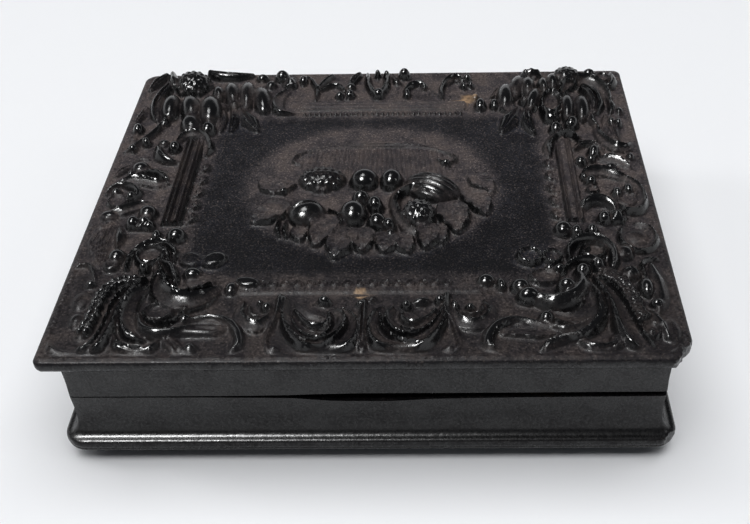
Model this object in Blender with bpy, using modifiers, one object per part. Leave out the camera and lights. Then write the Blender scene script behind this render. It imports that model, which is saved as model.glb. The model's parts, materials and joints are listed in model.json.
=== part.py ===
"""Hinged moulded photograph case, closed: two shells, their hinges and clasps, and what they hold.

Units are metres, +Z is up and the front of the case faces -Y. The origin lies under the middle
of the case, on the surface that it stands on.
"""
import math

import bmesh
import bpy
import numpy as np
from mathutils import Vector

MM = 0.001

# Clearances between pieces
GAP = 0.3 * MM
RUNNING_GAP = 0.2 * MM
OVERRUN = 1.0 * MM
MERGE = 0.01 * MM

# Picture packet in the base
PICTURE_W = 81.3 * MM
PICTURE_D = 68.6 * MM
BACKING_T = 1.0 * MM
IMAGE_T = 0.6 * MM
MAT_T = 0.4 * MM
GLASS_T = 1.2 * MM
WINDOW_OVAL_W = 58.0 * MM
WINDOW_OVAL_D = 45.0 * MM
PRESERVER_T = 0.25 * MM
PRESERVER_FLANGE = 4.0 * MM
PRESERVER_R = 0.8 * MM
PACKET_END_GAP = 1.2 * MM
PACKET_SIDE_GAP = 0.3 * MM

# Velvet-covered strip round the packet, and the pad in the lid
RAIL_T = 0.44 * MM
RAIL_BELOW_RIM = 0.2 * MM
BOARD_T = 1.0 * MM
PAD_EDGE_T = 2.4 * MM
PAD_CROWN = 0.8 * MM
PAD_DRAWN_IN = 0.7 * MM

# Covers: their lips, coves and upright rims
PLATE_R = 1.6 * MM
PLATE_T = 2.0 * MM
LIP_ROUND = 0.55 * MM
RIM_INSET = 2.56 * MM
RIM_R = 1.2 * MM
WALL = 2.3 * MM
CAVITY_R = 1.5 * MM
BASE_H = 9.85 * MM
LID_H = 9.9 * MM
BASE_COVE_H = 3.6 * MM
LID_COVE_H = 2.75 * MM

# Raised moulding under the base, which the case stands on
FOOT_H = 2.4 * MM
FOOT_INSET = 5.0 * MM
FOOT_SLOPE = 0.8 * MM
FOOT_LAND = 2.6 * MM
BOSS_W = 30.0 * MM
BOSS_D = 22.0 * MM
BOSS_H = 0.9 * MM
BOSS_SINK = 0.5 * MM

# Sprung seam at the front
DIP_DEPTH = 1.1 * MM
BOW_HEIGHT = 0.4 * MM
DIP_HALF_LENGTH = 34.0 * MM
DIP_CENTRE_SHARE = -0.04

# Lip corner broken off at the front right
BREAK_X = 4.6 * MM
BREAK_Y = 4.0 * MM

# Relief panel on the lid
PANEL_MARGIN = 1.5 * MM
PANEL_RISE = 0.2 * MM
PANEL_SINK = 0.6 * MM
PANEL_STEP = 1.2 * MM
PANEL_FADE = 2.0 * MM
RELIEF_H = 3.3 * MM
EYE_H = 105.4 * MM

# Hinges on the outside of the back rim
HINGE_SHARE = 0.5
HINGE_W = 15.0 * MM
LEAF_H = 4.4 * MM
LEAF_T = 0.45 * MM
BARREL_R = 1.0 * MM
PIN_R = 0.45 * MM
PIN_STICK_OUT = 0.25 * MM
RIVET_DROP = 3.0 * MM
RIVET_SPACING = 8.6 * MM
SHANK_R = 0.4 * MM
HEAD_R = 0.95 * MM
HEAD_H = 0.5 * MM

# Snap clasps inside the front rim
CLASP_SHARE = 0.54
CLASP_W = 6.4 * MM
SPRING_T = 0.35 * MM
POCKET_DEPTH = 1.1 * MM
POCKET_W = 7.2 * MM
SPRING_FOOT_DROP = 6.05 * MM
FLEX_DROP = 4.65 * MM
SPRING_BEND_DROP = 3.05 * MM
SPRING_BEND_H = 1.2 * MM
TONGUE_REACH = 2.4 * MM
BUMP_DEPTH = 0.2 * MM
BUMP_H = 1.2 * MM
CLASP_RIVET_SPACING = 3.2 * MM
BLIND_DEPTH = 0.6 * MM
SMALL_HEAD_R = 0.75 * MM
SMALL_HEAD_H = 0.25 * MM
CATCH_T = 0.3 * MM
CATCH_H = 4.2 * MM
CATCH_LIFT = 0.45 * MM
WINDOW_W = 3.2 * MM
WINDOW_H = 0.9 * MM
WINDOW_LIFT = 0.9 * MM
CATCH_RIVET_DROP = 0.75 * MM

# Sizes worked out from those above: the covers are made to fit round the picture packet
PARTING_Z = FOOT_H + BASE_H
PACKET_HALF_W = PICTURE_W / 2 + GAP + PRESERVER_T
PACKET_HALF_D = PICTURE_D / 2 + GAP + PRESERVER_T
CAVITY_HALF_W = PACKET_HALF_W + PACKET_END_GAP + RAIL_T + GAP
CAVITY_HALF_D = PACKET_HALF_D + PACKET_SIDE_GAP + RAIL_T + GAP
PLATE_HALF_W = CAVITY_HALF_W + WALL + RIM_INSET
PLATE_HALF_D = CAVITY_HALF_D + WALL + RIM_INSET
FLOOR_Z = FOOT_H + PLATE_T
CEILING_Z = PARTING_Z + LID_H - PLATE_T
BACK_FACE_Y = PLATE_HALF_D - RIM_INSET
HINGE_Y = BACK_FACE_Y + GAP + BARREL_R
LEAF_Y = BACK_FACE_Y + GAP
FRONT_WALL_Y = -CAVITY_HALF_D
CLASP_X = CLASP_SHARE * PLATE_HALF_W
HINGE_X = HINGE_SHARE * PLATE_HALF_W
SPRING_FOOT_Z = PARTING_Z - SPRING_FOOT_DROP
FLEX_Z = PARTING_Z - FLEX_DROP
SPRING_BEND_Z = PARTING_Z - SPRING_BEND_DROP

QUARTER_TURN = math.pi / 2
HALF_TURN = math.pi
SHARP_ANGLE = math.radians(32)
CORNER_STEPS = 5
FRONT_STEPS = 16
COVE_STEPS = 6
LIP_STEPS = 4
HEAD_STEPS = 3
ROUND_SEGMENTS = 16
OVAL_SEGMENTS = 40

# The relief is laid out on a net of small modules, so that every form follows the plate. Its
# places are those that the photograph shows, level with the plate. The eye stands above and in
# front of the case, so a form that rises stands nearer to it than it looks.
MODULES_ALONG = 96.0
MODULES_ACROSS = 81.5
MODULE_X = 2 * PLATE_HALF_W / MODULES_ALONG
MODULE_Y = 2 * PLATE_HALF_D / MODULES_ACROSS
EYE_shares = (10.8, -142.4)
SEEN_SHARE = 0.6
END_SHARE = 0.4

# Fluted bars of the frame: middle x and y, half length and half width in modules, height share
BAR_shares = [
    (-33.5, 3.2, 1.75, 12.4, 0.38),
    (33.9, 3.1, 1.5, 12.1, 0.33),
    (0.6, 27.6, 16.0, 1.5, 0.29),
    (-1.4, -25.4, 19.0, 0.9, 0.18),
]

# Leaves under the fruit: foot, tip and half width in modules, height share
LEAF_shares = [
    ([(-7.2, -6.0), (-8.6, -13.4)], 2.5, 0.30),
    ([(-3.2, -9.6), (-3.8, -16.2)], 2.7, 0.30),
    ([(1.2, -10.2), (4.6, -15.4)], 2.1, 0.28),
    ([(9.0, -9.2), (10.2, -14.8)], 1.9, 0.32),
    ([(11.6, -3.4), (14.6, -10.8)], 2.4, 0.38),
    ([(15.0, -0.4), (18.9, -6.2)], 2.0, 0.32),
    ([(-15.2, -3.6), (-20.4, -6.6)], 2.2, 0.32),
    ([(-13.6, -8.4), (-15.0, -12.8)], 1.4, 0.26),
]

# Domes: seen x and y, half sizes in modules, turn in degrees, height share
FRUIT_shares = [
    (-8.7, 4.0, 4.2, 3.7, 0, 0.60),
    (-2.0, 4.4, 3.0, 3.0, 0, 0.80),
    (2.5, 4.4, 2.5, 2.9, 0, 0.74),
    (10.1, 2.9, 5.0, 4.3, -40, 0.82),
    (-12.0, -4.3, 3.1, 3.6, 10, 0.86),
    (-3.0, -4.6, 2.5, 3.6, 8, 0.88),
    (-3.0, -1.6, 1.8, 1.5, 0, 0.76),
    (0.2, -3.6, 1.5, 2.6, 15, 0.67),
    (1.0, -7.7, 1.6, 1.9, 25, 0.67),
    (2.5, -9.6, 1.3, 1.6, 20, 0.52),
    (7.5, -4.6, 2.75, 4.0, 10, 0.86),
]
FRONT_DOME_shares = [
    (-41.2, -37.9, 1.2, 1.15, 0, 0.55),
    (-27.5, -30.4, 1.1, 1.8, 0, 0.58),
    (-25.5, -37.6, 1.0, 1.3, 15, 0.42),
    (-28.0, -20.8, 1.7, 1.4, 0, 0.48),
    (-28.8, -17.5, 2.2, 1.8, -30, 0.36),
    (-25.1, -17.5, 2.2, 1.7, 35, 0.38),
    (-26.4, -22.8, 2.6, 1.8, 0, 0.20),
    (-35.6, -16.4, 2.6, 2.5, 0, 0.58),
    (-32.5, -10.9, 1.75, 1.75, 0, 0.64),
    (-35.7, -11.1, 0.9, 1.35, 0, 0.48),
    (-41.1, -16.3, 1.55, 1.7, 0, 0.55),
    (-44.1, -27.1, 1.5, 2.1, 0, 0.27),
    (-43.7, -31.4, 1.2, 1.7, 0, 0.40),
    (-19.0, -23.1, 2.1, 1.2, -10, 0.38),
    (-21.3, -24.4, 1.1, 1.5, 0, 0.36),
    (-15.2, -28.8, 1.0, 1.0, 0, 0.50),
    (-6.5, -27.4, 1.2, 0.9, -15, 0.50),
    (6.1, -28.5, 1.0, 1.0, 0, 0.56),
    (8.4, -27.8, 1.7, 0.9, 10, 0.40),
    (18.5, -22.7, 1.5, 1.4, 0, 0.45),
    (20.8, -23.9, 0.9, 1.5, 10, 0.42),
    (25.6, -26.3, 1.6, 1.5, 0, 0.70),
    (24.2, -23.8, 1.5, 1.5, 0, 0.48),
    (27.3, -31.2, 1.25, 1.4, 0, 0.67),
    (27.4, -22.4, 2.4, 1.7, 0, 0.20),
    (28.6, -24.8, 2.0, 1.6, 0, 0.45),
    (30.2, -20.6, 1.0, 0.9, 0, 0.48),
    (25.8, -17.2, 2.1, 1.9, -20, 0.36),
    (29.5, -17.3, 1.6, 2.0, 15, 0.36),
    (33.8, -20.4, 1.2, 1.1, 0, 0.64),
    (35.8, -15.8, 2.4, 2.2, 0, 0.55),
    (31.8, -10.1, 1.5, 1.7, 0, 0.55),
    (33.8, -10.9, 0.9, 1.3, 0, 0.55),
    (36.5, -10.6, 0.9, 1.2, 0, 0.52),
    (41.6, -15.8, 1.5, 1.5, 0, 0.45),
    (43.2, -12.2, 1.9, 2.0, 0, 0.24),
    (43.2, -24.8, 1.3, 2.4, 0, 0.42),
    (42.2, -33.6, 1.1, 1.3, 0, 0.48),
    (41.4, -38.2, 1.2, 1.1, 0, 0.55),
]
SIDE_DOME_shares = [
    (-42.6, 7.8, 1.6, 1.7, 20, 0.33),
    (-37.4, 3.3, 1.0, 1.0, 0, 0.55),
    (-42.2, -0.3, 0.9, 1.0, 0, 0.45),
    (-42.2, -3.8, 1.5, 1.0, 10, 0.40),
    (-38.3, -4.5, 1.9, 2.1, 30, 0.36),
    (-40.4, -7.6, 0.9, 1.5, 0, 0.48),
    (-38.2, -7.9, 1.7, 1.7, 0, 0.48),
    (-45.6, 21.0, 0.9, 1.1, 0, 0.48),
    (-42.8, 16.3, 0.9, 1.4, 20, 0.45),
    (-45.4, 13.7, 1.0, 1.0, 0, 0.40),
    (-38.1, 14.7, 1.1, 1.3, -30, 0.48),
    (39.0, -7.7, 1.0, 1.3, 0, 0.58),
    (41.1, -7.2, 1.3, 1.7, 0, 0.52),
    (43.8, -2.0, 1.5, 1.6, 0, 0.20),
    (38.9, 11.5, 0.9, 1.7, -15, 0.55),
    (41.8, 9.1, 1.8, 1.1, 0, 0.45),
    (41.9, 6.8, 1.2, 1.0, 0, 0.36),
    (44.4, 21.4, 1.4, 1.1, 0, 0.45),
]
BACK_DOME_shares = [
    (-38.4, 38.6, 3.5, 3.6, 0, 1.00),
    (-33.2, 24.8, 1.7, 1.8, 0, 0.79),
    (-32.2, 20.9, 1.3, 1.7, 0, 0.58),
    (-28.0, 29.0, 1.3, 1.3, 0, 0.55),
    (-30.2, 28.4, 1.4, 1.4, 0, 0.45),
    (-24.2, 39.2, 1.2, 1.0, 0, 0.36),
    (-20.3, 40.4, 1.35, 1.4, 0, 0.70),
    (-18.3, 37.4, 1.2, 1.9, 10, 0.42),
    (-16.0, 38.2, 1.0, 1.2, 0, 0.48),
    (-8.1, 32.4, 1.0, 1.1, 0, 0.45),
    (-6.1, 32.9, 1.0, 1.3, -15, 0.52),
    (-6.1, 35.6, 1.1, 1.1, 0, 0.36),
    (-0.5, 33.1, 1.25, 1.3, 0, 0.60),
    (4.5, 40.7, 1.3, 1.3, 0, 0.70),
    (17.2, 36.9, 1.2, 2.2, 0, 0.45),
    (19.5, 28.8, 1.2, 1.9, 0, 0.58),
    (22.2, 28.7, 1.0, 1.7, 0, 0.52),
    (37.2, 38.9, 3.0, 3.3, 0, 0.97),
    (41.6, 39.8, 1.4, 1.2, 0, 0.58),
    (36.7, 21.7, 1.1, 1.8, -20, 0.60),
    (32.4, 24.6, 1.8, 1.6, 0, 0.67),
    (32.4, 19.4, 1.0, 1.7, 0, 0.55),
    (28.2, 30.0, 1.2, 1.2, 0, 0.48),
    (30.2, 40.0, 2.0, 1.0, 0, 0.55),
]

# Scrolls: seen places along the middle, then half width in modules, height share
FRONT_LEFT_SCROLL_shares = [
    ([(-35.2, -22.4), (-37.0, -24.3), (-38.3, -28.5), (-38.7, -33.0), (-39.3, -36.4), (-40.6, -38.0)],
     1.45, 0.85),
    ([(-42.2, -38.7), (-44.4, -38.6), (-46.0, -37.5), (-46.6, -36.0)], 1.0, 0.45),
    ([(-34.8, -24.6), (-36.9, -28.4), (-36.3, -33.2), (-33.2, -37.2), (-30.9, -36.0)], 1.25, 0.79),
    ([(-34.8, -27.0), (-35.0, -29.6), (-34.2, -32.2), (-32.2, -34.2), (-30.0, -35.0)], 1.0, 0.60),
    ([(-30.2, -34.9), (-25.6, -31.4), (-20.4, -32.0), (-18.5, -36.6), (-19.4, -38.3)], 0.85, 0.52),
    ([(-30.6, -35.3), (-27.6, -34.3), (-22.2, -34.4), (-20.6, -33.2)], 0.85, 0.44),
    ([(-29.8, -35.4), (-28.4, -36.6), (-26.4, -39.0)], 1.1, 0.36),
    ([(-34.2, -18.4), (-32.2, -24.4), (-30.2, -26.6), (-27.4, -27.1), (-23.1, -24.3)], 1.8, 0.88),
    ([(-33.4, -18.0), (-31.8, -19.0), (-30.7, -21.6), (-30.3, -23.4)], 0.8, 0.62),
    ([(-38.9, -19.6), (-38.8, -16.4), (-36.9, -13.7), (-34.2, -13.2), (-32.1, -15.0), (-31.5, -17.8)],
     0.8, 0.72),
    ([(-42.3, -8.9), (-41.7, -11.4), (-41.5, -14.2)], 1.1, 0.40),
    ([(-44.0, -8.0), (-44.3, -12.0), (-43.6, -17.0), (-42.9, -21.2)], 1.6, 0.26),
    ([(-36.8, -22.3), (-39.4, -22.7), (-41.3, -25.4), (-41.7, -30.0), (-42.2, -34.6)], 1.2, 0.44),
]
FRONT_RIGHT_SCROLL_shares = [
    ([(35.3, -22.4), (36.6, -24.8), (37.6, -28.4), (38.1, -32.4), (38.9, -35.8), (40.6, -38.2)],
     1.5, 0.85),
    ([(42.6, -39.0), (44.6, -38.7), (46.0, -37.6)], 0.9, 0.42),
    ([(34.6, -24.0), (36.0, -29.6), (35.1, -32.4), (33.0, -34.6), (30.6, -35.6)], 1.3, 0.79),
    ([(34.4, -26.4), (34.3, -29.2), (32.8, -31.8), (30.2, -33.6), (28.2, -34.0)], 1.1, 0.62),
    ([(31.8, -36.0), (33.4, -37.4), (35.2, -37.8), (37.2, -36.8), (38.0, -35.0)], 0.9, 0.42),
    ([(30.4, -34.2), (25.0, -32.2), (20.3, -32.6), (18.1, -36.6), (19.2, -38.9)], 0.9, 0.52),
    ([(31.6, -35.7), (28.6, -35.6), (22.4, -35.5), (20.6, -35.0)], 0.7, 0.38),
    ([(31.2, -36.2), (28.9, -36.6), (27.0, -37.5), (25.8, -39.2)], 0.85, 0.42),
    ([(34.0, -22.4), (33.0, -25.0), (30.8, -27.2), (27.8, -28.0), (25.2, -27.0)], 1.85, 0.88),
    ([(31.6, -19.6), (33.2, -18.4), (35.4, -18.2), (36.8, -19.8)], 0.7, 0.60),
    ([(32.4, -17.4), (33.0, -14.8), (35.2, -13.1), (37.6, -13.9), (38.7, -16.6), (38.6, -19.8)],
     0.8, 0.72),
    ([(43.2, -29.2), (44.0, -31.4), (43.4, -34.2), (42.4, -35.6)], 0.8, 0.42),
    ([(42.0, -9.9), (41.4, -12.4), (42.6, -14.8), (44.8, -15.0), (46.2, -13.0), (45.6, -10.4)],
     0.65, 0.34),
    ([(36.6, -21.4), (38.9, -22.9), (40.2, -26.2), (40.9, -30.4)], 1.5, 0.44),
]
FRONT_CENTRE_SCROLL_shares = [
    ([(-12.4, -27.0), (-12.3, -30.6), (-9.0, -36.4), (-5.6, -37.4), (-2.6, -36.6), (-2.0, -31.2)],
     1.4, 0.82),
    ([(-11.0, -31.2), (-9.8, -33.6), (-7.6, -35.2), (-5.2, -35.0), (-3.7, -33.0), (-4.8, -29.6)],
     1.0, 0.72),
    ([(-10.8, -29.6), (-9.4, -31.8), (-7.6, -33.0), (-6.0, -32.6), (-5.6, -30.0)], 0.7, 0.58),
    ([(11.9, -27.4), (11.6, -31.0), (7.8, -36.8), (4.6, -37.4), (2.0, -36.2), (1.3, -30.6)],
     1.4, 0.84),
    ([(10.4, -31.0), (9.0, -33.2), (7.0, -34.4), (4.9, -33.9), (3.5, -32.0), (4.2, -29.4)], 1.0, 0.72),
    ([(10.6, -29.8), (9.2, -31.6), (7.2, -32.4), (5.7, -31.6), (5.3, -30.2)], 0.8, 0.58),
    ([(-0.4, -27.6), (-0.5, -31.0), (-0.5, -34.6), (-0.1, -38.8)], 0.75, 0.58),
    ([(-18.9, -27.9), (-19.2, -30.1), (-16.5, -32.8), (-14.9, -32.0), (-14.4, -28.4)], 1.15, 0.58),
    ([(13.0, -27.8), (13.1, -30.2), (16.6, -32.7), (18.5, -31.5), (18.1, -27.9)], 1.15, 0.60),
    ([(-13.3, -26.6), (-13.4, -30.0), (-14.1, -33.2), (-14.5, -35.9), (-12.3, -38.0)], 0.6, 0.42),
    ([(12.3, -26.4), (12.3, -29.6), (13.2, -32.8), (13.9, -35.9), (11.7, -38.2)], 0.6, 0.42),
]
SIDE_SCROLL_shares = [
    ([(-42.0, 5.6), (-40.4, 7.0), (-38.5, 6.2), (-37.2, 4.4)], 0.9, 0.50),
    ([(-43.2, 3.6), (-40.4, 3.2), (-38.2, 2.8), (-36.8, 3.0)], 0.9, 0.48),
    ([(-46.4, 0.6), (-46.0, 3.2), (-44.2, 4.3), (-42.6, 4.0)], 0.8, 0.44),
    ([(-39.9, 12.7), (-38.8, 11.4), (-37.2, 10.4), (-35.9, 9.7)], 0.85, 0.48),
    ([(-37.2, 16.4), (-36.6, 18.6), (-34.6, 19.3), (-32.6, 17.9), (-30.8, 12.6)], 0.9, 0.60),
    ([(36.6, 3.4), (37.6, 5.3), (39.4, 6.2), (41.2, 5.6)], 0.9, 0.48),
    ([(38.0, 2.6), (39.4, 2.2), (41.0, 2.2)], 0.8, 0.42),
    ([(42.2, 5.0), (44.2, 4.0), (45.6, -1.2), (45.2, -3.6), (42.1, -4.0)], 0.9, 0.46),
    ([(35.6, -4.6), (36.6, -2.7), (38.5, -1.9), (40.0, -3.2), (40.2, -5.2)], 1.0, 0.50),
    ([(31.0, 10.6), (31.3, 14.4), (32.8, 17.1), (35.0, 18.1), (37.0, 14.8)], 0.9, 0.60),
    ([(40.9, 21.0), (41.2, 17.6), (42.4, 14.8), (44.3, 13.2), (45.8, 14.2)], 0.85, 0.48),
    ([(43.4, 21.6), (43.4, 18.0), (44.6, 15.4)], 1.5, 0.30),
]
BACK_LEFT_SCROLL_shares = [
    ([(-43.3, 34.0), (-42.8, 30.4), (-42.9, 26.6), (-42.0, 23.0)], 1.0, 0.58),
    ([(-41.9, 32.6), (-40.6, 30.6), (-39.6, 28.2), (-39.6, 25.8)], 1.4, 0.80),
    ([(-38.6, 32.4), (-37.4, 30.2), (-36.2, 27.8), (-35.8, 25.0)], 1.5, 0.86),
    ([(-35.4, 31.8), (-34.2, 29.4), (-33.4, 26.4), (-33.4, 24.0)], 1.7, 0.88),
    ([(-33.2, 34.6), (-32.5, 32.4), (-32.2, 30.0)], 1.0, 0.79),
    ([(-31.9, 37.2), (-30.6, 34.8), (-29.6, 32.2), (-29.2, 30.0)], 1.1, 0.78),
    ([(-28.4, 37.6), (-27.2, 35.0), (-26.6, 31.8), (-27.0, 28.6)], 1.5, 0.76),
    ([(-25.4, 35.4), (-24.2, 32.6), (-23.4, 29.6), (-23.8, 27.2)], 1.4, 0.66),
    ([(-37.6, 25.0), (-36.4, 23.0), (-35.2, 20.4)], 1.4, 0.60),
    ([(-29.4, 26.0), (-28.8, 23.2), (-28.4, 19.8)], 1.5, 0.36),
    ([(-27.4, 26.0), (-25.6, 23.2), (-23.6, 20.2)], 1.5, 0.38),
    ([(-19.4, 33.2), (-20.3, 31.0), (-20.0, 28.4), (-18.6, 26.4), (-16.6, 25.6)], 1.0, 0.42),
    ([(-46.0, 36.4), (-45.2, 39.2), (-44.2, 40.8)], 1.0, 0.42),
    ([(-42.6, 40.6), (-42.6, 37.6), (-42.9, 34.6)], 1.1, 0.72),
    ([(-34.6, 41.6), (-32.6, 40.4), (-29.6, 40.0)], 1.0, 0.54),
]
BACK_CENTRE_SCROLL_shares = [
    ([(-12.7, 30.4), (-12.6, 32.8), (-12.8, 35.0), (-13.8, 37.6), (-15.2, 39.4)], 0.65, 0.44),
    ([(-12.8, 34.0), (-12.2, 36.0), (-11.2, 38.2), (-9.9, 40.0)], 0.65, 0.44),
    ([(-12.2, 34.0), (-10.6, 35.7), (-8.9, 36.2), (-7.7, 35.1), (-7.3, 33.6)], 0.65, 0.42),
    ([(-2.9, 40.0), (-2.5, 36.4), (-1.4, 33.4), (-0.4, 32.4)], 0.8, 0.55),
    ([(1.0, 40.0), (1.0, 36.4), (0.2, 33.6), (-0.5, 32.4)], 0.8, 0.55),
    ([(2.2, 39.6), (3.0, 37.4), (3.8, 36.4)], 0.8, 0.38),
    ([(5.2, 32.6), (5.1, 34.6), (6.0, 36.2), (7.6, 36.6), (8.6, 34.4)], 0.8, 0.48),
    ([(12.2, 31.0), (12.0, 34.2), (12.7, 37.2), (14.2, 39.0), (16.3, 37.2)], 0.7, 0.50),
    ([(-6.0, 36.6), (-5.6, 38.6), (-4.6, 40.2)], 1.0, 0.45),
    ([(21.8, 31.0), (23.0, 33.2), (24.6, 35.0)], 0.8, 0.40),
]
BACK_RIGHT_SCROLL_shares = [
    ([(24.4, 34.6), (24.5, 32.0), (24.2, 29.4)], 1.2, 0.54),
    ([(25.6, 39.6), (26.4, 36.4), (26.6, 33.4)], 1.1, 0.60),
    ([(29.4, 38.0), (28.9, 35.6), (28.0, 32.6)], 1.3, 0.78),
    ([(30.9, 34.6), (30.2, 32.2), (29.3, 29.4), (28.8, 27.2)], 1.1, 0.76),
    ([(31.2, 37.6), (31.6, 34.8), (32.0, 31.6)], 1.1, 0.82),
    ([(33.6, 39.0), (33.4, 36.2), (33.8, 33.4)], 1.2, 0.79),
    ([(34.6, 32.2), (33.2, 29.6), (32.2, 26.6), (32.4, 24.6)], 1.5, 0.82),
    ([(36.3, 31.8), (36.2, 28.6), (35.6, 25.0)], 1.3, 0.85),
    ([(37.6, 31.0), (38.8, 28.6), (39.6, 26.0), (38.8, 23.6)], 1.2, 0.76),
    ([(35.4, 33.2), (37.4, 35.9), (40.0, 36.9), (42.6, 35.8), (44.2, 30.0)], 1.15, 0.90),
    ([(38.2, 31.6), (39.4, 33.6), (41.2, 33.2), (42.0, 30.8), (41.8, 24.0)], 1.0, 0.66),
    ([(43.2, 29.6), (43.6, 27.0), (42.8, 24.4)], 0.9, 0.45),
    ([(25.2, 25.4), (24.6, 22.6), (24.6, 18.8)], 1.5, 0.38),
    ([(28.6, 25.8), (27.8, 22.8), (28.6, 18.6)], 1.3, 0.38),
    ([(44.6, 40.6), (43.4, 38.6), (43.8, 36.6)], 1.0, 0.54),
]
BASKET_RIM_shares = [
    ([(-14.7, 9.2), (-12.8, 13.2), (-8.0, 14.6), (0.0, 15.3), (8.0, 14.9), (13.9, 12.1), (14.3, 10.1)],
     0.7, 0.30),
]

PLASTIC = ("moulded_black", (0.022, 0.019, 0.018), 0.32, 0.0)
BRASS = ("aged_brass", (0.55, 0.37, 0.14), 0.38, 1.0)
GILT = ("gilt_brass", (0.70, 0.50, 0.22), 0.30, 1.0)
VELVET = ("velvet", (0.20, 0.02, 0.035), 0.95, 0.0)
CARD = ("card", (0.33, 0.25, 0.16), 0.85, 0.0)
SILVERED = ("silvered_plate", (0.42, 0.42, 0.44), 0.18, 1.0)
GLASS = ("clear_glass", (0.85, 0.90, 0.88), 0.03, 0.0)


def clear_scene():
    for old in list(bpy.data.objects):
        bpy.data.objects.remove(old, do_unlink=True)
    for old in list(bpy.data.collections):
        bpy.data.collections.remove(old)


def new_collection(name):
    made = bpy.data.collections.new(name)
    bpy.context.scene.collection.children.link(made)
    return made


clear_scene()
CASE = new_collection("union_case")
CUTTERS = new_collection("cutters")


def material(look):
    name, colour, roughness, metallic = look
    made = bpy.data.materials.get(name)
    if made is None:
        made = bpy.data.materials.new(name)
        made.use_nodes = True
        shader = made.node_tree.nodes["Principled BSDF"]
        shader.inputs["Base Color"].default_value = (*colour, 1.0)
        shader.inputs["Roughness"].default_value = roughness
        shader.inputs["Metallic"].default_value = metallic
        made.diffuse_color = (*colour, 1.0)
    return made


def add_mesh(name, bm):
    bmesh.ops.recalc_face_normals(bm, faces=bm.faces)
    mesh = bpy.data.meshes.new(name)
    bm.to_mesh(mesh)
    bm.free()
    return mesh


def place(name, mesh, look, at=(0, 0, 0), parent=None):
    """A named sub-part with its origin at a world place, hung on its parent empty."""
    piece = bpy.data.objects.new(name, mesh)
    CASE.objects.link(piece)
    piece.parent = parent
    piece.location = Vector(at) - (parent.location if parent else Vector())
    piece.data.materials.append(material(look))
    piece.data.shade_smooth()
    piece.data.set_sharp_from_angle(angle=SHARP_ANGLE)
    return piece


def place_cutter(name, mesh, at=(0, 0, 0)):
    cutter = bpy.data.objects.new(name, mesh)
    CUTTERS.objects.link(cutter)
    cutter.location = at
    cutter.hide_render = True
    cutter.display_type = "WIRE"
    return cutter


def cut(piece, cutter):
    step = piece.modifiers.new("cut_" + cutter.name, "BOOLEAN")
    step.operation = "DIFFERENCE"
    step.solver = "EXACT"
    step.object = cutter


def join(piece, other):
    step = piece.modifiers.new("join_" + other.name, "BOOLEAN")
    step.operation = "UNION"
    step.solver = "EXACT"
    step.object = other


def pivot(name, at):
    empty = bpy.data.objects.new(name, None)
    CASE.objects.link(empty)
    empty.location = at
    return empty


def box_mesh(name, width, depth, height):
    """A box standing on its own origin plane, centred along X and Y."""
    bm = bmesh.new()
    bmesh.ops.create_cube(bm, size=1)
    bmesh.ops.scale(bm, vec=(width, depth, height), verts=bm.verts)
    bmesh.ops.translate(bm, vec=(0, 0, height / 2), verts=bm.verts)
    return add_mesh(name, bm)


def rod_mesh(name, radius, length, axis, segments=ROUND_SEGMENTS):
    """A cylinder centred on its origin along X or Y."""
    bm = bmesh.new()
    bmesh.ops.create_cone(bm, cap_ends=True, segments=segments, radius1=radius, radius2=radius, depth=length)
    for vert in bm.verts:
        x, y, z = vert.co
        vert.co = (z, y, -x) if axis == "X" else (x, z, -y)
    return add_mesh(name, bm)


def ring(half_w, half_d, radius, z):
    """A rounded rectangle, anticlockwise from the left end of its front edge."""
    straight = half_w - radius
    points = [
        (straight * (2 * step / FRONT_STEPS - 1), -half_d, z) for step in range(FRONT_STEPS)
    ]
    for number, (way_x, way_y) in enumerate([(1, -1), (1, 1), (-1, 1), (-1, -1)]):
        middle_x = way_x * straight
        middle_y = way_y * (half_d - radius)
        for step in range(CORNER_STEPS + 1):
            turn = (number - 1 + step / CORNER_STEPS) * QUARTER_TURN
            points.append((middle_x + radius * math.cos(turn), middle_y + radius * math.sin(turn), z))
    return points[:-1]


def inset_ring(inset, z, radius):
    return ring(PLATE_HALF_W - inset, PLATE_HALF_D - inset, radius, z)


def loft(name, rings, tube=False):
    """Quads between rings of equal counts. A tube closes on itself, and anything else is capped."""
    bm = bmesh.new()
    loops = [[bm.verts.new(point) for point in points] for points in rings]
    following = loops[1:] + loops[:1] if tube else loops[1:]
    for one, other in zip(loops, following):
        for here in range(len(one)):
            ahead = (here + 1) % len(one)
            bm.faces.new((one[here], one[ahead], other[ahead], other[here]))
    if not tube:
        bm.faces.new(loops[0][::-1])
        bm.faces.new(loops[-1])
    return add_mesh(name, bm)


def seam_drop(x, depth):
    """How far the front seam gives way at x, fading out to both sides."""
    away = (x - DIP_CENTRE_SHARE * PLATE_HALF_W) / DIP_HALF_LENGTH
    return depth * (1 - away * away) ** 2 if abs(away) < 1 else 0


def sprung(points, depth):
    """A seam ring with its front edge bent by seam_drop."""
    front_y = min(y for x, y, z in points)
    return [
        (x, y, z + seam_drop(x, depth) if y < front_y + MERGE else z) for x, y, z in points
    ]


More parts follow.
